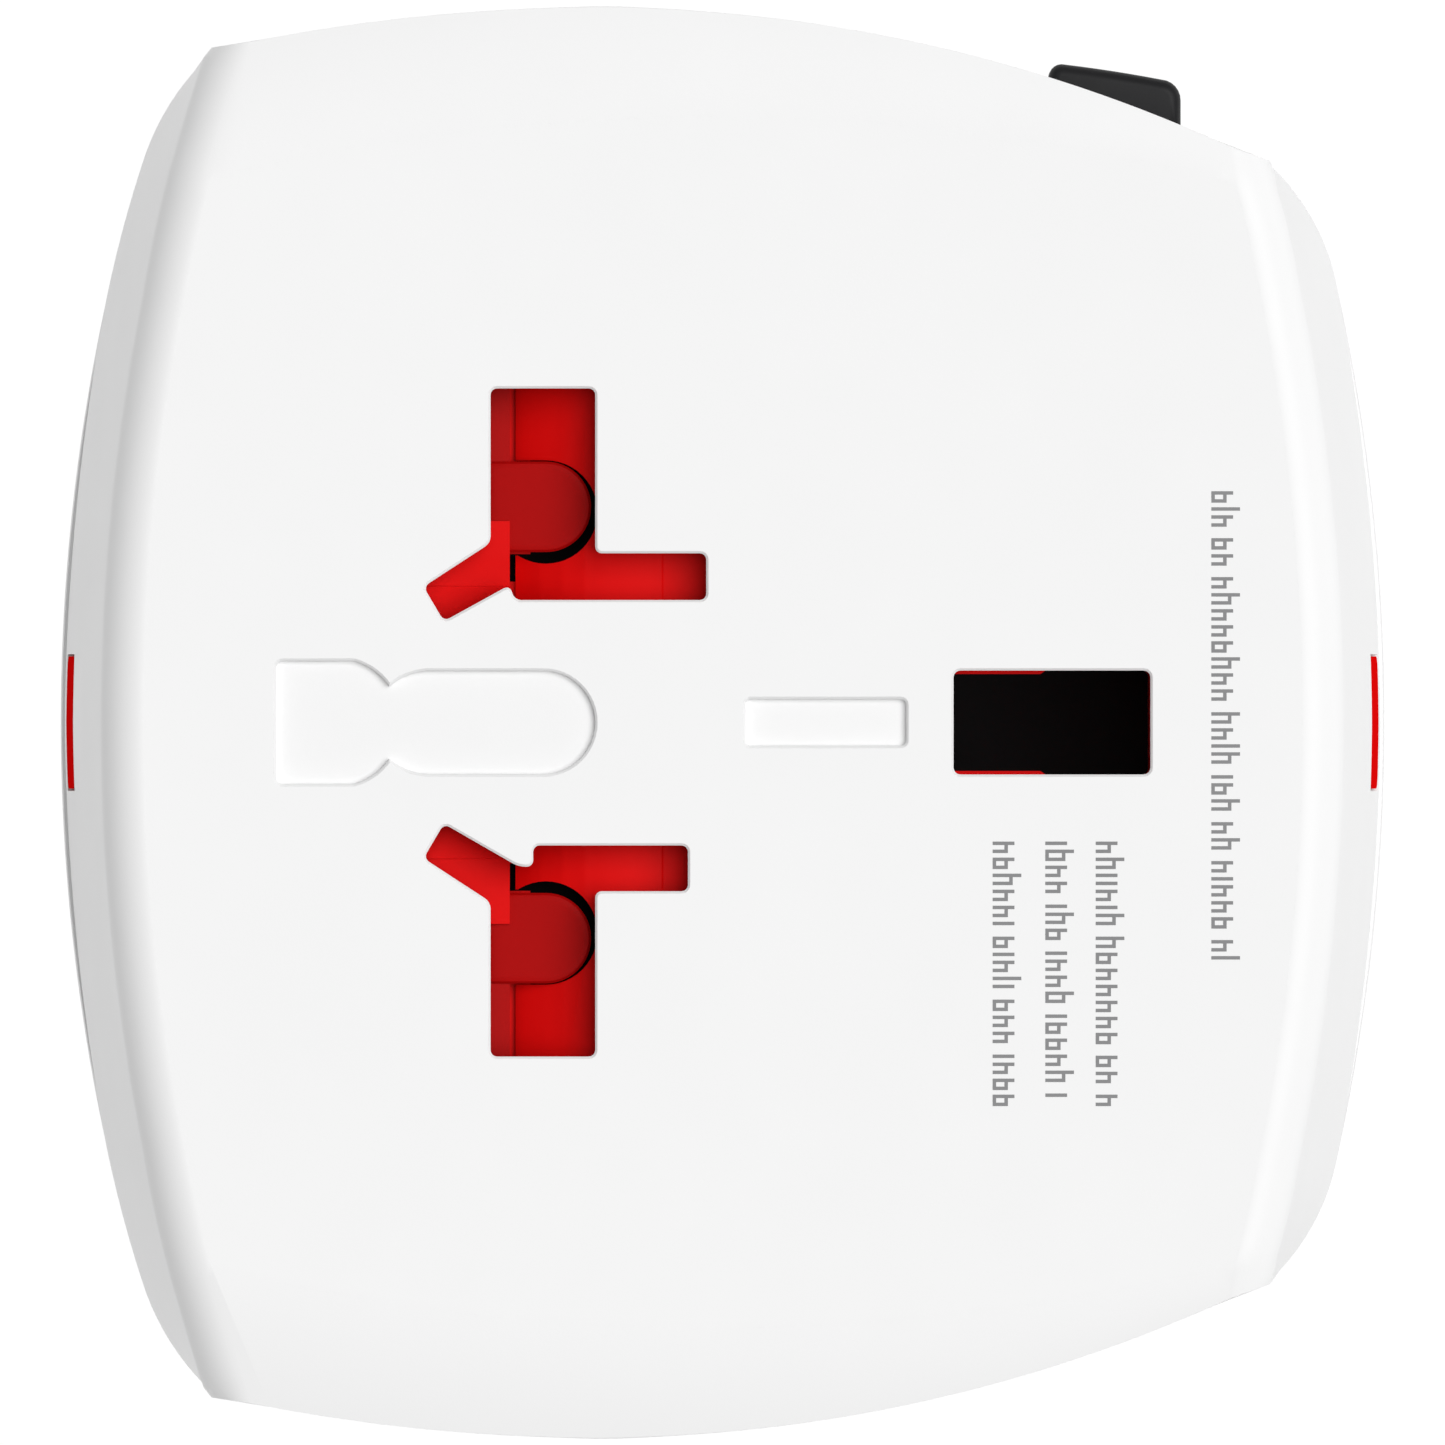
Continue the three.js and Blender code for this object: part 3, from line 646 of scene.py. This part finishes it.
def front_cover():
    """The cover with its three holes, its two blanks and the seats of the red bars."""
    piece = as_object(front_solid(), "cover_shell", WHITE)
    boolean(piece, cover_hollow())
    boolean(piece, face_cutter(RIGHT_HOLE, HOLE_DEPTH, 0.28))
    boolean(piece, face_cutter([(-x, y) for x, y in LEFT_HOLE], HOLE_DEPTH, 0.28))
    boolean(piece, face_cutter(EARTH_HOLE, HOLE_DEPTH, 0.3))
    boolean(piece, face_cutter(SQUARE_BLANK, BLANK_DEPTH, 0.25, BLANK_FOOT))
    boolean(piece, face_cutter(keyhole_blank(), BLANK_DEPTH, 0.0, BLANK_FOOT))
    for name in ACCENT_BARS:
        low, high = node_corners(name)
        boolean(piece, bar_cutter(low, high))
    settle(piece, "housing", "white_shell", "front_cover", crisp=12)


def accent_bars():
    """Plain red bars let into the middle of each end wall, flush with it."""
    beyond_wall = 31
    for name in ACCENT_BARS:
        low, high = node_corners(name)
        outline = rounded(rectangle(low.x, high.x, low.z, high.z), 0.5, 6)
        root, outside = (low.y, beyond_wall) if low.y > 0 else (high.y, -beyond_wall)
        bm = bmesh.new()
        stack(bm, [[(x, y, z) for x, z in outline] for y in (root, outside)])
        bar = as_object(bm, name + "_inlay")
        boolean(bar, as_object(front_solid(), "form"), "INTERSECT")
        bar.data.materials.clear()
        bar.data.materials.append(BAR_RED)
        settle(bar, "housing", "red_plastic", name)


# ---- Shutters and the earth-pin sleeve ------------------------------------------------------------

LAP_Z = 49.96
BOSS = (9.43, -7.72, 1.98)
BOSS_ROOT_Y = -10.3
NOTCH = (9.2, -7.72, 2.26)
THROUGH_Z = (45, 55)


def upper_shutter():
    """The larger shutter: a long hump under the British and American holes, notched for the bosses."""
    low, high = node_corners("shutter_upper")
    hump = [
        (high.y, 51.5), (-2.58, 51.5), (-2.66, 51.56), (-4.0, 51.58), (-5.0, 51.58), (-6.0, 51.48),
        (-7.0, 51.25), (-8.0, 50.86), (low.y, 50.3),
    ]
    lap_top = LAP_Z + 0.12
    profile = [(low.y, lap_top), (low.y + 1, lap_top), (low.y + 1, low.z), (high.y, low.z), *hump]
    bm = bmesh.new()
    stack(bm, [[(x, y, z) for y, z in profile] for x in (low.x, high.x)])
    piece = as_object(bm, "shutter_upper_moulding", RED)
    x, y, radius = NOTCH
    for side in SIDES.values():
        boolean(piece, prism_object(circle(side * x, y, radius), *THROUGH_Z))
        slot_x = sorted((side * (x - 1.9), side * (x + radius)))
        boolean(piece, prism_object(rectangle(*slot_x, low.y - 1, y), *THROUGH_Z))
    settle(piece, "upper_shutter", "red_plastic", "shutter_upper", crisp=20)
    # A near-black sheet under the shutter: painted shadow, which shows as the dark gap round each boss.
    shadow_sheet_plan = rectangle(low.x, high.x, low.y - 0.6, high.y)
    shadow_sheet = prism_object(shadow_sheet_plan, low.z - 0.3, low.z - 0.05, "shutter_painted_shadow_sheet")
    shadow_sheet.data.materials.append(PAINTED_SHADOW_BLACK)
    settle(shadow_sheet, "upper_shutter", "black_plastic")


def lower_shutter():
    """The smaller shutter: ramps under the slanted slots, and a round-nosed boss for each pole."""
    low, high = node_corners("shutter_lower")
    right = [(3.5, 51.2), (5.95, 51.5), (5.97, 51.4), (7.04, 51.46), (7.38, 51.56), (8.8, 51.56)]
    right += [(8.82, 51.0), (high.x, 51.0)]
    top = right[::-1] + [(-x, z) for x, z in right]
    profile = [(low.x, low.z), (high.x, low.z), *top]
    bm = bmesh.new()
    stack(bm, [[(x, y, z) for x, z in profile] for y in (low.y, high.y)])
    piece = as_object(bm, "shutter_lower_moulding", RED)
    gap_low, gap_high = 6.16, 7.36
    for x0, x1 in ((low.x, -gap_high), (-gap_low, gap_low), (gap_high, high.x)):
        lip = prism_object(rectangle(x0, x1, high.y - 0.5, high.y + 0.9), low.z + 0.02, LAP_Z, "lip")
        boolean(piece, lip, "UNION")
    x, y, radius = BOSS
    for side_name, side in SIDES.items():
        turns = [math.pi * i / 24 for i in range(25)]
        outline = [(x + radius * math.cos(t), y + radius * math.sin(t)) for t in turns]
        outline += [(x - radius, BOSS_ROOT_Y), (x + radius, BOSS_ROOT_Y)]
        outline = grown([(side * px, py) for px, py in outline], 0)
        bm = bmesh.new()
        rings = [level(outline, LAP_Z + 0.1)]
        for shrink, drop in ((0, 0.2), (-0.1, 0.06), (-0.35, 0)):
            rim = grown(outline, shrink)
            rings.append([(px, py, 51.3 + (py - BOSS_ROOT_Y) * 0.09 - drop) for px, py in rim])
        stack(bm, rings)
        # The bosses take the darker red: painted shade for the shade they sit in at the bottom of the holes.
        boss = as_object(bm, f"shutter_boss_{side_name}", SHADE_PAINTED_RED)
        settle(boss, "lower_shutter", "red_plastic")
        # A thin ledge on each outer strip in the darker red: painted shade along that strip.
        ledge_x = sorted((side * 8.84, side * high.x))
        plan = rectangle(*ledge_x, low.y, high.y)
        ledge = prism_object(plan, LAP_Z + 0.3, 51.08, f"shutter_ledge_{side_name}")
        ledge.data.materials.append(SHADE_PAINTED_RED)
        settle(ledge, "lower_shutter", "red_plastic")
        foot = prism_object(grown(outline, -0.3), low.z + 0.05, LAP_Z + 0.3, "foot")
        boolean(piece, foot, "UNION")
    settle(piece, "lower_shutter", "red_plastic", "shutter_lower", crisp=20)


def earth_sleeve():
    """The lining of the earth-pin hole, with a lead-in ledge along each long side."""
    low, high = node_corners("earth_sleeve")
    bm = bmesh.new()
    prism(bm, rounded(rectangle(low.x, high.x, low.y, high.y), 0.6), low.z, high.z)
    piece = as_object(bm, "earth_lining", RED)
    inner = rounded(rectangle(-2.3, 2.3, 10.06, 18.72), 0.3)
    boolean(piece, prism_object(inner, low.z - 1, high.z + 1))
    for side in SIDES.values():
        ledge = [(2.4, 10.0), (2.12, 10.0), (2.12, 13.9), (2.4, 14.3)]
        ledge = grown([(side * x, y) for x, y in ledge], 0)
        boolean(piece, prism_object(ledge, 45, 50.8, "ledge"), "UNION")
    settle(piece, "housing", "red_plastic", "earth_sleeve")


WIRE_SIDES = 10
COIL = {"radius": 0.75, "wire": 0.18, "turns": 6}


def coil(name, x, y0, y1, z, radius, wire, turns):
    """A closed-end compression coil along Y."""
    steps = turns * 24
    rings = []
    for step in range(steps + 1):
        share = step / steps
        turn = 2 * math.pi * turns * share
        along = share - math.sin(2 * math.pi * share) / (2 * math.pi) * 0.8
        y = y0 + wire + (y1 - y0 - 2 * wire) * along
        ring = []
        for corner in range(WIRE_SIDES):
            around = 2 * math.pi * corner / WIRE_SIDES
            reach = radius + wire * math.cos(around)
            place = x + reach * math.cos(turn), y + wire * math.sin(around), z + reach * math.sin(turn)
            ring.append(place)
        rings.append(ring)
    bm = bmesh.new()
    stack(bm, rings)
    return as_object(bm, name, STEEL)


def shutter_springs():
    """Each spring, pressed between its shutter and a fixed stop on the tray, is drawn as a wound coil at its full
    length.
    """
    for level_name, stop in (("upper", 1), ("lower", -1)):
        stroke = frame_stroke(f"{level_name}_shutter_travel")
        for side_name in SIDES:
            node = f"shutter_spring_{level_name}_{side_name}"
            low, high = node_corners(node)
            at = node_centre(node)
            piece = coil(node + "_wound", at.x, low.y, high.y, at.z, **COIL)
            settle(piece, "housing", "steel", node)
            length = high.y - low.y
            (length - stroke - 0.1) / length
            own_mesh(piece)


# ---- Rear housing ---------------------------------------------------------------------------------

REAR_TAPER = 1.2
FOOT_RADIUS = 1.6
GATE_HALF = 1.65
TRACK_PITCH = 17
TRACKS_Y = (-TRACK_PITCH, 0, TRACK_PITCH)
FAR = 50
PANEL_TOP = 34.4
PANEL_THICK = 1.6
CARRIAGE_GAP = 0.3
POST_RADIUS = 2.6
SCREW_BORE = 1.25
HEAD_BORE = 2.2
PIN_GAP = 0.35
ROUND_PIN_RADIUS = 2.0
TWIST = math.radians(30)


def rear_form():
    """The closed outer form of the rear housing, with its slim bulge at the parting line."""
    wide = widest_outline(HALF_LENGTH)
    top_z = PARTING_Z - SEAM
    rings = [level(scaled(wide, 0.3), top_z), level(scaled(wide, 0.06), top_z - 0.1)]
    rings += [level(wide, top_z - 0.35), level(scaled(wide, 0.04), top_z - 1.2)]
    rings.append(level(scaled(wide, REAR_TAPER / 2), top_z / 2))
    rings.append(level(scaled(wide, REAR_TAPER), FOOT_RADIUS))
    for step in range(1, 9):
        turn = math.pi / 2 * step / 8
        inset = REAR_TAPER + FOOT_RADIUS * (1 - math.cos(turn))
        rings.append(level(scaled(wide, inset), FOOT_RADIUS * (1 - math.sin(turn))))
    bm = bmesh.new()
    stack(bm, rings)
    foot = min(bm.faces, key=lambda f: f.calc_center_median().z)
    bmesh.ops.inset_region(bm, faces=[foot], thickness=0.3, use_even_offset=True, use_boundary=True)
    return as_object(bm, "rear_shell", WHITE)


def rear_hollow():
    """The room inside the rear housing, with a straight way for the knob's carriage."""
    wide = widest_outline(WALL_REACH)
    bm = bmesh.new()
    stack(bm, [level(scaled(wide, 2), PARTING_Z + 1), level(scaled(wide, REAR_TAPER + 2), 2)])
    hollow = as_object(bm, "hollow")
    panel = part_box("selector_carriage")[0].x / MM - CARRIAGE_GAP
    bm = bmesh.new()
    block(bm, -FAR, panel, -FAR, FAR, -5, 60)
    boolean(hollow, as_object(bm, "cutter"))
    bm = bmesh.new()
    block(bm, panel, -21.6, -19.8, 19.8, 2.3, PARTING_Z + 1)
    boolean(hollow, as_object(bm, "way"), "UNION")
    return hollow


def gate_cutter(panel_x):
    """The comb-shaped gate in the flat side, with a chamfered mouth."""
    low, high = node_corners("selector_knob")
    middle = (low.z + high.z) / 2
    stroke = frame_stroke("uk_pins_travel")
    top, shelf, foot = middle + GATE_HALF, middle - GATE_HALF, middle - stroke - GATE_HALF
    outline = []
    for y in TRACKS_Y:
        outline += [(y - GATE_HALF, foot), (y + GATE_HALF, foot)]
        if y < TRACKS_Y[-1]:
            outline += [(y + GATE_HALF, shelf), (y + TRACK_PITCH - GATE_HALF, shelf)]
    outline += [(TRACKS_Y[-1] + GATE_HALF, top), (TRACKS_Y[0] - GATE_HALF, top)]
    outline = grown(rounded(outline, 0.9, 5), 0)
    mouth = grown(outline, 0.3)
    bm = bmesh.new()
    rings = [(mouth, panel_x - 1), (mouth, panel_x), (outline, panel_x + 0.3), (outline, panel_x + 2.6)]
    stack(bm, [[(x, y, z) for y, z in points] for points, x in rings])
    return as_object(bm, "gate")


def rear_hole(outline, depth=4.0, rim=0.2):
    """A cutter for a hole in the flat rear face, with a chamfered mouth."""
    bm = bmesh.new()
    mouth = grown(outline, rim)
    outline = grown(outline, 0)
    stack(bm, [level(mouth, -1), level(mouth, 0), level(outline, rim), level(outline, depth)])
    return as_object(bm, "cutter")


def bow_tie(side, thick, wide, x, y):
    """The outline that a flat blade sweeps as it twists."""
    reach = math.hypot(thick, wide) / 2
    first = math.atan2(wide, thick)
    last = math.atan2(wide, -thick) + TWIST
    waist = thick / 2 / math.cos(TWIST / 2)
    sweep = [first + (last - first) * i / 10 for i in range(11)]
    half = [(reach * math.cos(t), reach * math.sin(t)) for t in sweep]
    half.append((-waist * math.cos(TWIST / 2), -waist * math.sin(TWIST / 2)))
    whole = half + [(-px, -py) for px, py in half]
    return [(x + side * px, y + py) for px, py in whole]


SCREWS = [f"screw_{end}_{side}" for end in ("top", "bottom") for side in SIDES]


def rear_housing():
    """The rear housing with its flat side, screw posts, gate and pin holes."""
    panel_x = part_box("selector_carriage")[0].x / MM - CARRIAGE_GAP - PANEL_THICK
    piece = rear_form()
    bm = bmesh.new()
    block(bm, -FAR, panel_x, -FAR, FAR, -5, PANEL_TOP)
    shelf_edge = [e for e in bm.edges if all(v.co.x > panel_x - 1 and v.co.z > 0 for v in e.verts)]
    bmesh.ops.bevel(
        bm, geom=shelf_edge, offset=0.8, offset_type="OFFSET", affect="EDGES",
        segments=4, profile=0.5, material=-1, clamp_overlap=True,
    )
    boolean(piece, as_object(bm, "flat_side"))
    boolean(piece, rear_hollow())
    for name in SCREWS:
        at = node_centre(name)
        boolean(piece, prism_object(circle(at.x, at.y, POST_RADIUS, 24), 1.0, 29.7, "post"), "UNION")
        boolean(piece, prism_object(circle(at.x, at.y, SCREW_BORE, 24), -1, 31))
        boolean(piece, rear_hole(circle(at.x, at.y, HEAD_BORE), 1.7))
    boolean(piece, gate_cutter(panel_x))
    for side_name, side in SIDES.items():
        boolean(piece, rear_hole(rounded(grown_box(f"uk_pin_{side_name}", PIN_GAP), 0.5)))
        pin = node_centre(f"euro_pin_{side_name}")
        boolean(piece, rear_hole(circle(pin.x, pin.y, ROUND_PIN_RADIUS + PIN_GAP)))
        blade = node_centre(f"us_au_blade_{side_name}")
        boolean(piece, rear_hole(bow_tie(side, 2.3, 7.05, blade.x, blade.y), rim=0.12))
    boolean(piece, rear_hole(rounded(grown_box("uk_earth_pin", PIN_GAP), 0.5)))
    settle(piece, "housing", "white_shell", "rear_housing", crisp=20)


def screws():
    """Long screws, each with a domed head below the rear face and a cross recess in it."""
    head, shank = 1.9, 1.0
    for name in SCREWS:
        high = node_corners(name)[1]
        x, y, _ = node_centre(name)
        rings = [(0.5, 0.3), (1.2, 0.34), (1.6, 0.46), (head, 0.75), (head, 1.45)]
        rings += [(shank, 1.5), (shank, high.z)]
        bm = bmesh.new()
        stack(bm, [level(circle(x, y, radius, 40), z) for radius, z in rings])
        piece = as_object(bm, name + "_detailed", STEEL)
        for wide, tall in ((1.15, 0.24), (0.24, 1.15)):
            outline = rectangle(x - wide, x + wide, y - tall, y + tall)
            bm = bmesh.new()
            stack(bm, [level(grown(outline, 0.05), 0.1), level(grown(outline, -0.14), 1.1)])
            boolean(piece, as_object(bm, "cutter"))
        settle(piece, "housing", "steel", name)


# ---- Selector knob --------------------------------------------------------------------------------

KNOB_ROUNDING = 0.5
GRIP_GROOVES = 4
GROOVE_SHAPE = ((-0.42, 0), (-0.2, 0.22), (0.2, 0.22), (0.42, 0))


def knob_end(outline, end_z, inward):
    """Rings that round off one end of the knob, from the end face to its full outline."""
    rings = []
    for step in range(5):
        turn = math.pi / 2 * step / 4
        shrink = -KNOB_ROUNDING * (1 - math.sin(turn))
        z = end_z + inward * KNOB_ROUNDING * (1 - math.cos(turn))
        rings.append(level(grown(outline, shrink), z))
    return rings


def selector_knob():
    """A black thumb knob with shallow grip grooves across it, on a stem through the gate."""
    low, high = node_corners("selector_knob")
    inner = -25.9
    outer = low.x - 0.28
    lower_y, upper_y = low.y + 0.05, high.y + 0.15
    outline = [(inner, upper_y), (-27.35, upper_y)]
    outline += arc((-27.35, upper_y), (-28.0, upper_y - 0.25), (-28.28, upper_y - 0.85), 6)
    outline += arc((-28.28, upper_y - 0.85), (-28.66, 17.1), (outer, lower_y + 0.7), 6)
    outline += arc((outer, lower_y + 0.7), (outer + 0.1, lower_y + 0.22), (outer + 0.5, lower_y), 6)
    outline += [(outer + 0.5, lower_y), (inner, lower_y)]
    outline = grown(outline, 0)
    rings = knob_end(outline, low.z, 1)
    pitch = (high.z - low.z - 2.0) / GRIP_GROOVES
    for i in range(GRIP_GROOVES):
        z = low.z + 1.0 + pitch * (i + 0.5)
        for dz, depth in GROOVE_SHAPE:
            ring = [(min(x + depth, inner) if x < inner - 0.6 else x, y, z + dz) for x, y in outline]
            rings.append(ring)
    rings += reversed(knob_end(outline, high.z, -1))
    bm = bmesh.new()
    stack(bm, rings)
    piece = as_object(bm, "knob_grip", BLACK)
    stem_y, stem_z, stem_half = TRACK_PITCH, (low.z + high.z) / 2, 1.3
    bm = bmesh.new()
    stem_ends = (-26.3, -20.9)
    block(
        bm, *stem_ends, stem_y - stem_half, stem_y + stem_half, stem_z - stem_half, stem_z + stem_half,
    )
    boolean(piece, as_object(bm, "stem"), "UNION")
    settle(piece, "selector", "black_plastic", "selector_knob")


# ---- Output pins ----------------------------------------------------------------------------------

NECK_INSET = 0.42


def flat_pin(name, node, look, slot, tip=0.7, neck_z=None):
    """A rectangular pin with softened corners, a chamfered tip and, under a sleeve, a thinner neck."""
    low, high = node_corners(node)
    outline = grown(rounded(rectangle(low.x, high.x, low.y, high.y), tip, 4), 0)
    rings = [level(grown(outline, -tip * 0.8), low.z)]
    rings.append(level(grown(outline, -tip * 0.35), low.z + tip * 0.5))
    rings.append(level(outline, low.z + tip * 1.5))
    if neck_z:
        slim = grown(outline, -NECK_INSET)
        rings += [level(outline, neck_z - 0.15), level(slim, neck_z), level(slim, high.z)]
    else:
        rings.append(level(outline, high.z))
    bm = bmesh.new()
    stack(bm, rings)
    settle(as_object(bm, name, look), "uk_module", slot, node, crisp=30)


def sleeve(name, node, body, outline, hole):
    """A black insulating sleeve around the root of a pin."""
    low, high = node_corners(node)
    bm = bmesh.new()
    rings = [level(grown(outline, -0.12), low.z), level(outline, low.z + 0.12), level(outline, high.z)]
    stack(bm, rings)
    piece = as_object(bm, name, BLACK)
    boolean(piece, prism_object(hole, low.z - 1, high.z + 1))
    settle(piece, body, "black_plastic", node, crisp=30)


def british_pins():
    """Two plated pins in black sleeves and the moulded earth pin."""
    for side in SIDES:
        sleeve_low = node_corners(f"uk_pin_sleeve_{side}")[0].z
        pin = f"uk_pin_{side}"
        flat_pin(pin + "_plated", pin, NICKEL, "nickel", neck_z=sleeve_low - 0.3)
        node = f"uk_pin_sleeve_{side}"
        outline = grown(rounded(grown_box(node, 0), 0.45, 4), 0)
        sleeve(f"uk_sleeve_{side}_moulded", node, "uk_module", outline, grown(outline, -0.35))
    flat_pin("uk_earth_pin_moulded", "uk_earth_pin", BLACK, "black_plastic", tip=0.9)


def flat_blades():
    """Each blade hangs from a round hub that turns in its carrier."""
    half_thick, half_wide = 0.8, 3.17
    hub_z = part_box("us_au_carrier")[0].z / MM - 0.25
    for side_name in SIDES:
        node = f"us_au_blade_{side_name}"
        low, high = node_corners(node)
        at = node_centre(node)
        section = rectangle(at.x - half_thick, at.x + half_thick, at.y - half_wide, at.y + half_wide)
        outline = grown(rounded(section, 0.5, 4), 0)
        rings = [level(grown(outline, -0.45), low.z), level(grown(outline, -0.2), low.z + 0.3)]
        rings += [level(outline, low.z + 1.2), level(outline, hub_z + 0.15)]
        bm = bmesh.new()
        stack(bm, rings)
        piece = as_object(bm, f"us_au_blade_{side_name}_plated", NICKEL)
        boolean(piece, prism_object(circle(at.x, at.y, 2.9), hub_z, high.z, "hub"), "UNION")
        settle(piece, f"us_au_{side_name}", "nickel", node, crisp=30)


def round_pins():
    """Sleeved round pins with domed tips."""
    neck, tip_height, tip_flat = 1.5, 1.5, 0.35
    for side in SIDES:
        node = f"euro_pin_{side}"
        low, high = node_corners(node)
        at = node_centre(node)
        sleeve_low = node_corners(f"euro_pin_sleeve_{side}")[0].z
        rings = []
        for step in range(7):
            turn = math.pi / 2 * step / 6
            reach = tip_flat + (ROUND_PIN_RADIUS - tip_flat) * math.sin(turn)
            rings.append((reach, low.z + tip_height * (1 - math.cos(turn))))
        rings += [(ROUND_PIN_RADIUS, sleeve_low - 0.5), (neck, sleeve_low - 0.3), (neck, high.z)]
        bm = bmesh.new()
        stack(bm, [level(circle(at.x, at.y, reach, 40), z) for reach, z in rings])
        piece = as_object(bm, f"euro_pin_{side}_plated", NICKEL)
        settle(piece, "euro_module", "nickel", node, crisp=30)
        sleeve(
            f"euro_sleeve_{side}_moulded", f"euro_pin_sleeve_{side}", "euro_module",
            circle(at.x, at.y, 1.95, 40), circle(at.x, at.y, 1.6, 40),
        )


# ---- Placeholder print on the face ----------------------------------------------------------------

PRINT_HEIGHT = 0.015
PEN_WIDTH = 0.15
MARK_WIDTH = 0.5
MARKS = random.Random(4)
PRINT_LINES = ((21.35, -10.1, 10.9), (16.3, 5.2, 17.2), (14.1, 5.2, 16.9), (11.8, 5.2, 16.9))


def placeholder_mark(bm, x, y, tall):
    """A tick, an arch or a small open box that stands in for one printed character."""
    kind = MARKS.choice(("box", "arch", "arch", "tick"))
    body = tall * 0.7
    parts = [(x, x + PEN_WIDTH, y, y + tall)]
    if kind != "tick":
        parts.append((x + PEN_WIDTH, x + MARK_WIDTH, y + body - PEN_WIDTH, y + body))
        parts.append((x + MARK_WIDTH - PEN_WIDTH, x + MARK_WIDTH, y, y + body - PEN_WIDTH))
    if kind == "box":
        parts.append((x + PEN_WIDTH, x + MARK_WIDTH - PEN_WIDTH, y, y + PEN_WIDTH))
    for x0, x1, y0, y1 in parts:
        prism(bm, rectangle(x0, x1, y0, y1), FACE_Z + 0.002, FACE_Z + PRINT_HEIGHT)
    return PEN_WIDTH if kind == "tick" else MARK_WIDTH


def placeholder_line(bm, y, start, end):
    """A line of placeholder marks in short words, from start to end along X."""
    x = start
    while x < end - MARK_WIDTH:
        for _ in range(MARKS.randint(2, 8)):
            if x < end - MARK_WIDTH:
                x += placeholder_mark(bm, x, y, MARKS.choice((0.95, 0.95, 1.25))) + 0.2
        x += 0.3


def placeholder_print():
    """One line across the earth-pin end and three short ones beside the hole, all without meaning."""
    bm = bmesh.new()
    for y, start, end in PRINT_LINES:
        placeholder_line(bm, y, start, end)
    piece = as_object(bm, "placeholder_print", INK)
    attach(piece, "housing")


front_cover()
accent_bars()
upper_shutter()
lower_shutter()
earth_sleeve()
shutter_springs()
rear_housing()
screws()
selector_knob()
british_pins()
flat_blades()
round_pins()
placeholder_print()

bpy.context.scene.view_settings.view_transform = "Standard"


def white_world():
    """Soft, dim white light from all round, and a bright white backdrop behind the floor."""
    world = bpy.data.worlds.new("studio")
    world.use_nodes = True
    nodes, links = world.node_tree.nodes, world.node_tree.links
    glow = nodes["Background"]
    glow.inputs["Color"].default_value = (1, 1, 1, 1)
    glow.inputs["Strength"].default_value = 0.26
    backdrop = nodes.new("ShaderNodeBackground")
    backdrop.inputs["Color"].default_value = (1, 1, 1, 1)
    seen = nodes.new("ShaderNodeLightPath").outputs["Is Camera Ray"]
    both = nodes.new("ShaderNodeMixShader")
    for socket, end in zip(both.inputs, (seen, glow.outputs[0], backdrop.outputs[0])):
        links.new(end, socket)
    links.new(both.outputs[0], nodes["World Output"].inputs["Surface"])
    bpy.context.scene.world = world


def pale_floor():
    """A plain, evenly lit white floor under the object."""
    bm = bmesh.new()
    bmesh.ops.create_grid(bm, x_segments=2, y_segments=2, size=4000)
    floor = as_object(bm, "floor")
    f = Finish("floor_paint")
    speck = f.noise(scale=40, detail=2)
    f.surface(
        Base_Color=f.mix(speck, (0.03, 0.03, 0.03), (0.025, 0.025, 0.025)),
        Roughness=0.9,
        Emission_Color=(1, 1, 1, 1),
        Emission_Strength=1.0,
        Specular_IOR_Level=0.0,
    )
    floor.data.materials.append(f.material)


white_world()
pale_floor()
